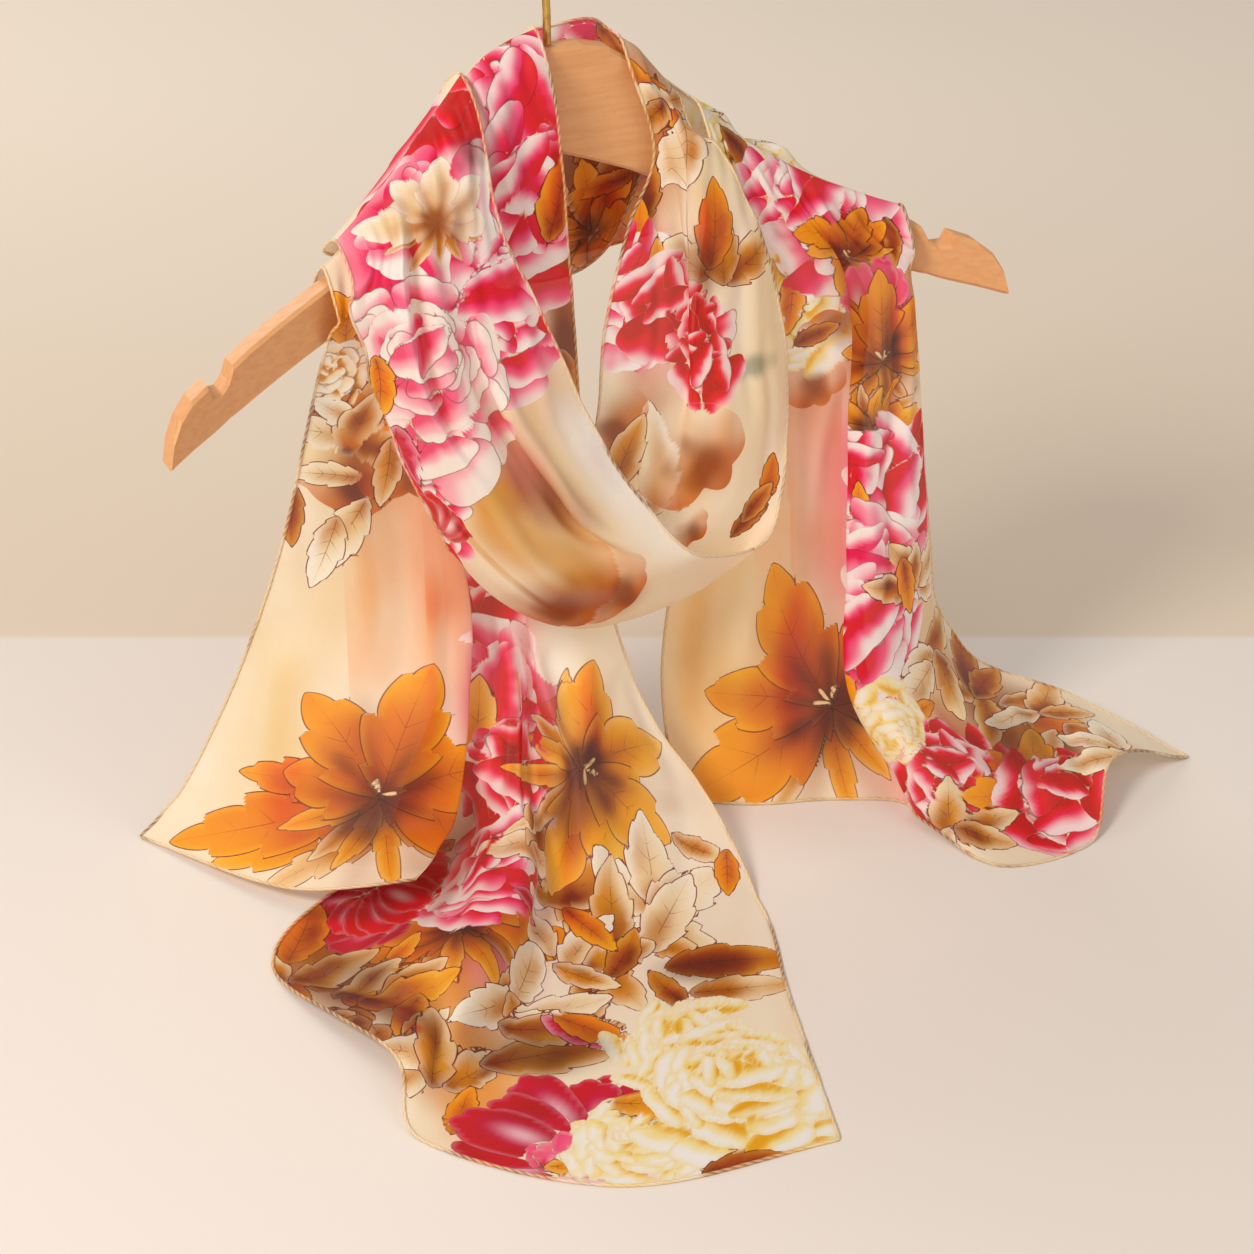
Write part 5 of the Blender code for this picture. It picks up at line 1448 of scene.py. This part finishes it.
def printed_inks(tree, wobble, half_line):
    """The ground and the four ink layers, each cut at its own edge, and how much outline lies there."""
    shade = add(tree, "Attribute", (), "Color", attribute_name="ground")
    outline = None
    for layer in range(LAYERS):
        edge = add(tree, "Attribute", (), "Fac", attribute_name=f"edge_{layer}")
        ink = add(tree, "Attribute", (), "Color", attribute_name=f"ink_{layer}")
        inside = add(tree, "MapRange", (edge, -INK_SOFTNESS, INK_SOFTNESS, 1.0, 0.0), **SMOOTH)
        shade = add(tree, "Mix", {0: inside, 6: shade, 7: ink}, 2, **TINTS)
        away = add(tree, "Math", (edge,), operation="ABSOLUTE")
        away = add(tree, "Math", (away, wobble), operation="ADD")
        line = add(tree, "MapRange", (away, 0.5 * half_line, 1.5 * half_line, 1.0, 0.0), **SMOOTH)
        outline = line if outline is None else add(tree, "Math", (outline, line), operation="MAXIMUM")
    vein = add(tree, "Attribute", (), "Color", attribute_name="vein")
    midrib, side_vein, where = add(tree, "SeparateColor", (vein,)).node.outputs
    where = add(tree, "MapRange", (where, 0.5, 0.9), **SMOOTH)
    for vein in (midrib, side_vein):
        away = add(tree, "Math", (vein,), operation="ABSOLUTE")
        away = add(tree, "Math", (away, wobble), operation="ADD")
        line = add(tree, "MapRange", (away, 0.2 * half_line, 1.2 * half_line, 0.7, 0.0), **SMOOTH)
        line = add(tree, "Math", (line, where), operation="MULTIPLY")
        outline = add(tree, "Math", (outline, line), operation="MAXIMUM")
    return shade, outline


def chiffon(sizes, colours):
    """Silk chiffon, digitally printed: thin crepe threads that let light through, soft gloss, and inks
    that sink in with slightly cloudy patches and fine dark outlines."""
    name = "printed_silk_chiffon"
    if name in bpy.data.materials:
        return bpy.data.materials[name]
    material, tree, surface = new_material(name)
    place = add(tree, "UVMap", (), uv_map="cloth")
    # The ink is cloudy in patches about 18 mm across, and its lines swell and thin about every 4 mm.
    cloud = add(tree, "TexNoise", {"Vector": place, "Scale": 0.55, "Detail": 4.0, "Roughness": 0.6})
    fine = add(tree, "TexNoise", {"Vector": place, "Scale": 2.6})
    wobble = add(tree, "Math", (fine, 0.5), operation="SUBTRACT")
    wobble = add(tree, "Math", (wobble, LINE_WANDER), operation="MULTIPLY")
    shade, outline = printed_inks(tree, wobble, sizes.outline_width / 2 / CM)
    share = add(tree, "MapRange", (cloud, 0.3, 0.7, 0.0, 0.1), **SMOOTH)
    layers = {0: share, 6: shade, 7: colour("#FFF6E8")}
    clouded = add(tree, "Mix", layers, 2, **TINTS, blend_type="SOFT_LIGHT")
    line = add(tree, "Attribute", (), "Fac", attribute_name="line")
    share = add(tree, "Math", (outline, line), operation="MULTIPLY")
    layers = {0: share, 6: clouded, 7: (*colours.outline, 1.0)}
    inked = add(tree, "Mix", layers, 2, **TINTS, blend_type="MULTIPLY")
    # Glossy places get a lower roughness, and their colour is paled towards white as a painted sheen.
    satin = add(tree, "Attribute", (), "Fac", attribute_name="satin")
    rough = add(tree, "MapRange", (satin, 0.0, 1.0, 0.56, 0.34), **SMOOTH)
    share = add(tree, "MapRange", (satin, 0.0, 1.0, 0.0, 0.15), **SMOOTH)
    pale = add(tree, "Mix", {0: share, 6: inked, 7: colour("#FFF6E6")}, 2, **TINTS)
    # Crepe threads are about 0.2 mm apart, too fine to show: drawn 1.1 mm apart and faint.
    weave = {"Vector": place, "Scale": 2.9, "Distortion": 1.2, "Detail": 1.0}
    over = add(tree, "TexWave", weave, 1, bands_direction="X")
    under = add(tree, "TexWave", weave, 1, bands_direction="Y")
    threads = add(tree, "Math", (over, under), operation="ADD")
    threads = add(tree, "Math", (threads, fine), operation="ADD")
    bump = add(tree, "Bump", {"Strength": 0.12, "Distance": 0.0003, "Height": threads})
    inputs = {"Base Color": pale, "Roughness": rough, "Normal": bump, "IOR": 1.5}
    inputs.update({"Sheen Weight": 0.04, "Sheen Roughness": 0.4, "Specular IOR Level": 0.35})
    face = add(tree, "BsdfPrincipled", inputs)
    through = add(tree, "BsdfTranslucent", {"Color": inked, "Normal": bump})
    lit = add(tree, "MixShader", (0.22, face, through))
    clear = add(tree, "BsdfTransparent", {"Color": colour("#FFF6EA")})
    tree.links.new(add(tree, "MixShader", (0.07, lit, clear)), surface)
    return material


def rolled_hem(colours):
    """The same printed silk rolled tight and caught with pale thread: glossier, a little darker than the
    cloth beside it, with slanting stitches."""
    name = "rolled_silk_hem"
    if name in bpy.data.materials:
        return bpy.data.materials[name]
    material, tree, surface = new_material(name)
    place = add(tree, "UVMap", (), uv_map="cloth")
    # Stitches every 2.5 mm, and darker lengths of about 60 mm.
    slant = {"Vector": place, "Scale": 1.25, "Distortion": 0.6}
    stitch = add(tree, "TexWave", slant, 1, bands_direction="DIAGONAL")
    patch = add(tree, "TexNoise", {"Vector": place, "Scale": 0.16})
    beside = add(tree, "Attribute", (), "Color", attribute_name="tint")
    silk = add(tree, "Mix", {0: 0.45, 6: beside, 7: (*colours.hem, 1.0)}, 2, **TINTS)
    share = add(tree, "MapRange", (patch, 0.5, 0.62, 0.1, 0.85), **SMOOTH)
    silk = add(tree, "Mix", {0: share, 6: silk, 7: colour("#7A4018")}, 2, **TINTS)
    share = add(tree, "Math", (stitch, 0.45), operation="MULTIPLY")
    shade = add(tree, "Mix", {0: share, 6: silk, 7: colour("#F6E2B4")}, 2, **TINTS)
    bump = add(tree, "Bump", {"Strength": 0.35, "Distance": 0.0004, "Height": stitch})
    inputs = {"Base Color": shade, "Roughness": 0.42, "Normal": bump, "Sheen Weight": 0.1}
    tree.links.new(add(tree, "BsdfPrincipled", inputs), surface)
    return material


def beech(colours):
    """Steamed beech, planed, sanded and clear varnished: warm orange-brown, faint grain along the arm and
    the short dark flecks of its rays."""
    material, tree, surface = new_material("varnished_beech")
    place = add(tree, "TexCoord", (), "Object")
    # Growth rings show as bands 2 to 4 mm apart, drawn out along the arm.
    long = add(tree, "Mapping", {"Vector": place, "Scale": (9.0, 170.0, 170.0)})
    grain = add(tree, "TexNoise", {"Vector": long, "Scale": 2.2, "Detail": 4.0})
    # Ray flecks are about 2 mm long and 0.4 mm high. The tone drifts over about 140 mm.
    short = add(tree, "Mapping", {"Vector": place, "Scale": (260.0, 700.0, 1100.0)})
    fleck = add(tree, "TexNoise", {"Vector": short, "Scale": 1.0, "Detail": 1.0})
    broad = add(tree, "TexNoise", {"Vector": place, "Scale": 7.0})
    tone = (*colours.wood, 1.0)
    for pattern, low, high, most, hue in (
        (grain, 0.3, 0.75, 0.4, "#CC8850"),
        (broad, 0.35, 0.7, 0.35, "#D8965C"),
        (fleck, 0.64, 0.78, 0.2, "#A9683A"),
    ):
        share = add(tree, "MapRange", (pattern, low, high, 0.0, most), **SMOOTH)
        tone = add(tree, "Mix", {0: share, 6: tone, 7: colour(hue)}, 2, **TINTS)
    rough = add(tree, "MapRange", (grain, 0.3, 0.7, 0.4, 0.5), **SMOOTH)
    bump = add(tree, "Bump", {"Strength": 0.05, "Distance": 0.0003, "Height": grain})
    inputs = {"Base Color": tone, "Roughness": rough, "Normal": bump, "Coat Weight": 0.15}
    inputs["Coat Roughness"] = 0.3
    tree.links.new(add(tree, "BsdfPrincipled", inputs), surface)
    return material


def brass():
    """Brass wire, drawn and polished, with lengthwise drawing marks and a slight tarnish."""
    material, tree, surface = new_material("polished_brass_wire")
    place = add(tree, "TexCoord", (), "Object")
    # Drawing marks are about 0.4 mm wide and 11 mm long, and the tarnish lies in patches of 6 mm.
    drawn = add(tree, "Mapping", {"Vector": place, "Scale": (2500.0, 2500.0, 90.0)})
    marks = add(tree, "TexNoise", {"Vector": drawn, "Scale": 1.0, "Detail": 1.0})
    cloud = add(tree, "TexNoise", {"Vector": place, "Scale": 160.0, "Detail": 3.0})
    share = add(tree, "MapRange", (cloud, 0.35, 0.7), **SMOOTH)
    tone = add(tree, "Mix", {0: share, 6: colour("#D8B36A"), 7: colour("#B88A43")}, 2, **TINTS)
    rough = add(tree, "MapRange", (marks, 0.3, 0.7, 0.2, 0.34), **SMOOTH)
    inputs = {"Base Color": tone, "Roughness": rough, "Metallic": 1.0}
    tree.links.new(add(tree, "BsdfPrincipled", inputs), surface)
    return material


def studio_card(colours):
    """The plain studio floor: smooth matt card, pale, and a warmer beige behind a straight line, which
    grows paler further back."""
    material, tree, surface = new_material("pale_studio_card")
    place = add(tree, "TexCoord", (), "Object")
    sideways, backwards, _ = add(tree, "SeparateXYZ", (place,)).node.outputs
    sideways = add(tree, "Math", (sideways, float(np.sin(YAW))), operation="MULTIPLY")
    backwards = add(tree, "Math", (backwards, float(np.cos(YAW))), operation="MULTIPLY")
    back = add(tree, "Math", (sideways, backwards), operation="ADD")
    share = add(tree, "MapRange", (back, BACK_LINE, BACK_LINE + BACK_FADE), **SMOOTH)
    rear = add(tree, "Mix", {0: share, 6: (*colours.backdrop, 1.0), 7: colour("#F3E8DA")}, 2, **TINTS)
    share = add(tree, "MapRange", (back, BACK_LINE - LINE_SOFTNESS, BACK_LINE + LINE_SOFTNESS), **SMOOTH)
    tone = add(tree, "Mix", {0: share, 6: (*colours.floor, 1.0), 7: rear}, 2, **TINTS)
    # The card's tooth is about 1 mm across.
    tooth = add(tree, "TexNoise", {"Vector": place, "Scale": 900.0})
    bump = add(tree, "Bump", {"Strength": 0.05, "Distance": 0.0002, "Height": tooth})
    inputs = {"Base Color": tone, "Roughness": 0.75, "Normal": bump}
    tree.links.new(add(tree, "BsdfPrincipled", inputs), surface)
    return material


# ---------------------------------------------------------------- studio
BACK_LINE = 0.1379  # how far back, along the view, the floor changes tone
BACK_FADE = 1.0  # how far behind the line the floor is palest
LINE_SOFTNESS = 0.004
FLOOR_HALF = 6.0
LAMP_AIM = (0.03, -0.08, -0.3)
SURROUND_STRENGTH = 0.46

Lamp = namedtuple("Lamp", "name place size power tint")

LAMPS = (
    Lamp("key_softbox", (-1.5, -0.6, 1.1), 0.7, 28.0, "#FFF4E8"),
    Lamp("fill_softbox", (1.1, -1.7, 0.9), 1.6, 9.0, "#FFFAF4"),
    Lamp("back_softbox", (-0.4, 1.9, 1.1), 1.4, 15.0, "#FFF6EA"),
    Lamp("low_softbox", (-0.9, -1.7, 0.0), 1.2, 4.0, "#FFEEDD"),
)


def make_floor(colours):
    """A large square floor at the table's height."""
    corner = FLOOR_HALF * np.array([(-1, -1), (1, -1), (1, 1), (-1, 1)], float)
    height = (TABLE - ORIGIN_HEIGHT) * CM
    mesh = bpy.data.meshes.new("studio_floor")
    mesh.from_pydata(np.column_stack([corner, np.full(4, height)]).tolist(), [], [(0, 1, 2, 3)])
    mesh.materials.append(studio_card(colours))
    floor = bpy.data.objects.new("studio_floor", mesh)
    bpy.context.scene.collection.objects.link(floor)


def make_lamp(lamp):
    """A round soft lamp turned towards the scarf."""
    light = bpy.data.lights.new(lamp.name, "AREA")
    light.shape = "DISK"
    light.size = lamp.size
    light.energy = lamp.power
    light.color = linear(lamp.tint)
    holder = bpy.data.objects.new(lamp.name, light)
    place = Vector(lamp.place)
    holder.location = place
    holder.rotation_mode = "QUATERNION"
    holder.rotation_quaternion = (Vector(LAMP_AIM) - place).to_track_quat("-Z", "Y")
    bpy.context.scene.collection.objects.link(holder)


def make_camera():
    """The camera stands back from its aim along the view direction, level from side to side."""
    data = bpy.data.cameras.new("view_camera")
    data.lens = CAMERA_LENS
    data.sensor_width = SENSOR_WIDTH
    data.clip_start = CLIP_START
    data.clip_end = CLIP_END
    camera = bpy.data.objects.new("view_camera", data)
    turn = np.column_stack([RIGHTWARD, UPWARD, -FORWARD, CAMERA_PLACE])
    camera.matrix_world = Matrix(turn.tolist() + [[0.0, 0.0, 0.0, 1.0]])
    bpy.context.scene.collection.objects.link(camera)
    bpy.context.scene.camera = camera


def make_world():
    """Even warm-white light from all round."""
    world = bpy.data.worlds.new("studio_light")
    world.use_nodes = True
    background = world.node_tree.nodes["Background"]
    background.inputs["Color"].default_value = colour("#F5F0EA")
    background.inputs["Strength"].default_value = SURROUND_STRENGTH
    bpy.context.scene.world = world
    bpy.context.scene.view_settings.view_transform = "Standard"


# ---------------------------------------------------------------- add-on
def length_choice(name, description, default):
    """A length that a user may change, in metres."""
    return FloatProperty(
        name=name, description=description, default=default, unit="LENGTH", precision=5, min=0.0
    )


def colour_choice(name, description, code):
    """A colour that a user may change."""
    return FloatVectorProperty(
        name=name, description=description, default=linear(code), subtype="COLOR", size=3, min=0.0, max=1.0
    )


class ScarfSizes(bpy.types.PropertyGroup):
    """Sizes of the scarf's fine detail"""

    hem_diameter: length_choice("Hem diameter", "Thickness of the rolled hem", 0.0016)
    outline_width: length_choice("Outline width", "Width of the drawn outlines in the print", 0.00055)
    gather_height: length_choice("Gather height", "Height of the small folds at the hanger", 0.0011)


class ScarfColours(bpy.types.PropertyGroup):
    """Colours of the scarf, its hanger and the studio"""

    ground: colour_choice("Ground", "Cream ground of the print", GROUND)
    outline: colour_choice("Outline", "Drawn outlines of the print", "#8A4A3A")
    hem: colour_choice("Hem", "Thread and silk of the rolled hem", "#CC9C5A")
    wood: colour_choice("Wood", "Palest tone of the beech", "#E0A670")
    floor: colour_choice("Floor", "Studio floor", "#E6DFD9")
    backdrop: colour_choice("Backdrop", "Studio floor behind the line", "#DFD0BE")


class SCARF_OT_stage(bpy.types.Operator):
    """Make the floor, the lamps, the surrounding light and the camera"""

    bl_idname = "scarf.stage"
    bl_label = "Stage"

    def execute(self, context):
        make_floor(context.scene.scarf_colours)
        for lamp in LAMPS:
            make_lamp(lamp)
        make_world()
        make_camera()
        return {"FINISHED"}


class SCARF_OT_hanger(bpy.types.Operator):
    """Give the hanger its beech and the hook its brass"""

    bl_idname = "scarf.hanger"
    bl_label = "Hanger and hook"

    def execute(self, context):
        wood = beech(context.scene.scarf_colours)
        for name, material in (("hanger_board", wood), ("hook", brass())):
            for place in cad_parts[name].material_slots:
                place.material = material
        return {"FINISHED"}


def make_named(context, names):
    """Makes the stretches with these names."""
    rows = [row for row in STRETCHES if row.name in names]
    if len(rows) != len(names):
        raise RuntimeError("a stretch of the scarf is missing from its table")
    for row in rows:
        make_stretch(row, context.scene.scarf_sizes, context.scene.scarf_colours)


class SCARF_OT_tails(bpy.types.Operator):
    """Make the two tails that hang from the arms to the floor"""

    bl_idname = "scarf.tails"
    bl_label = "Tails"

    def execute(self, context):
        make_named(context, ("left_tail", "right_tail"))
        return {"FINISHED"}


class SCARF_OT_loop(bpy.types.Operator):
    """Make the two halves of the loop that hangs in front"""

    bl_idname = "scarf.loop"
    bl_label = "Loop"

    def execute(self, context):
        make_named(context, ("loop_right", "loop_left"))
        return {"FINISHED"}


class SCARF_OT_swags(bpy.types.Operator):
    """Make the two turns that pass behind the neck"""

    bl_idname = "scarf.swags"
    bl_label = "Back swags"

    def execute(self, context):
        make_named(context, ("back_swag_inner", "back_swag_outer"))
        return {"FINISHED"}


class SCARF_PT_panel(bpy.types.Panel):
    """Lists the steps, the sizes and the colours"""

    bl_idname = "SCARF_PT_panel"
    bl_label = "Scarf on a hanger"
    bl_space_type = "VIEW_3D"
    bl_region_type = "UI"
    bl_category = "Scarf"

    def draw(self, context):
        for group in (context.scene.scarf_sizes, context.scene.scarf_colours):
            for key in group.__annotations__:
                self.layout.prop(group, key)
        for step in STEPS:
            self.layout.operator(step.bl_idname)


STEPS = (SCARF_OT_stage, SCARF_OT_hanger, SCARF_OT_tails, SCARF_OT_loop, SCARF_OT_swags)
CLASSES = (ScarfSizes, ScarfColours, *STEPS, SCARF_PT_panel)


def register():
    for each in CLASSES:
        bpy.utils.register_class(each)
    bpy.types.Scene.scarf_sizes = PointerProperty(type=ScarfSizes)
    bpy.types.Scene.scarf_colours = PointerProperty(type=ScarfColours)


def unregister():
    del bpy.types.Scene.scarf_colours
    del bpy.types.Scene.scarf_sizes
    for each in reversed(CLASSES):
        bpy.utils.unregister_class(each)


def main():
    """Registers the add-on and makes every piece."""
    register()
    bpy.ops.scarf.stage()
    bpy.ops.scarf.hanger()
    bpy.ops.scarf.tails()
    bpy.ops.scarf.loop()
    bpy.ops.scarf.swags()


if __name__ == "__main__":
    main()
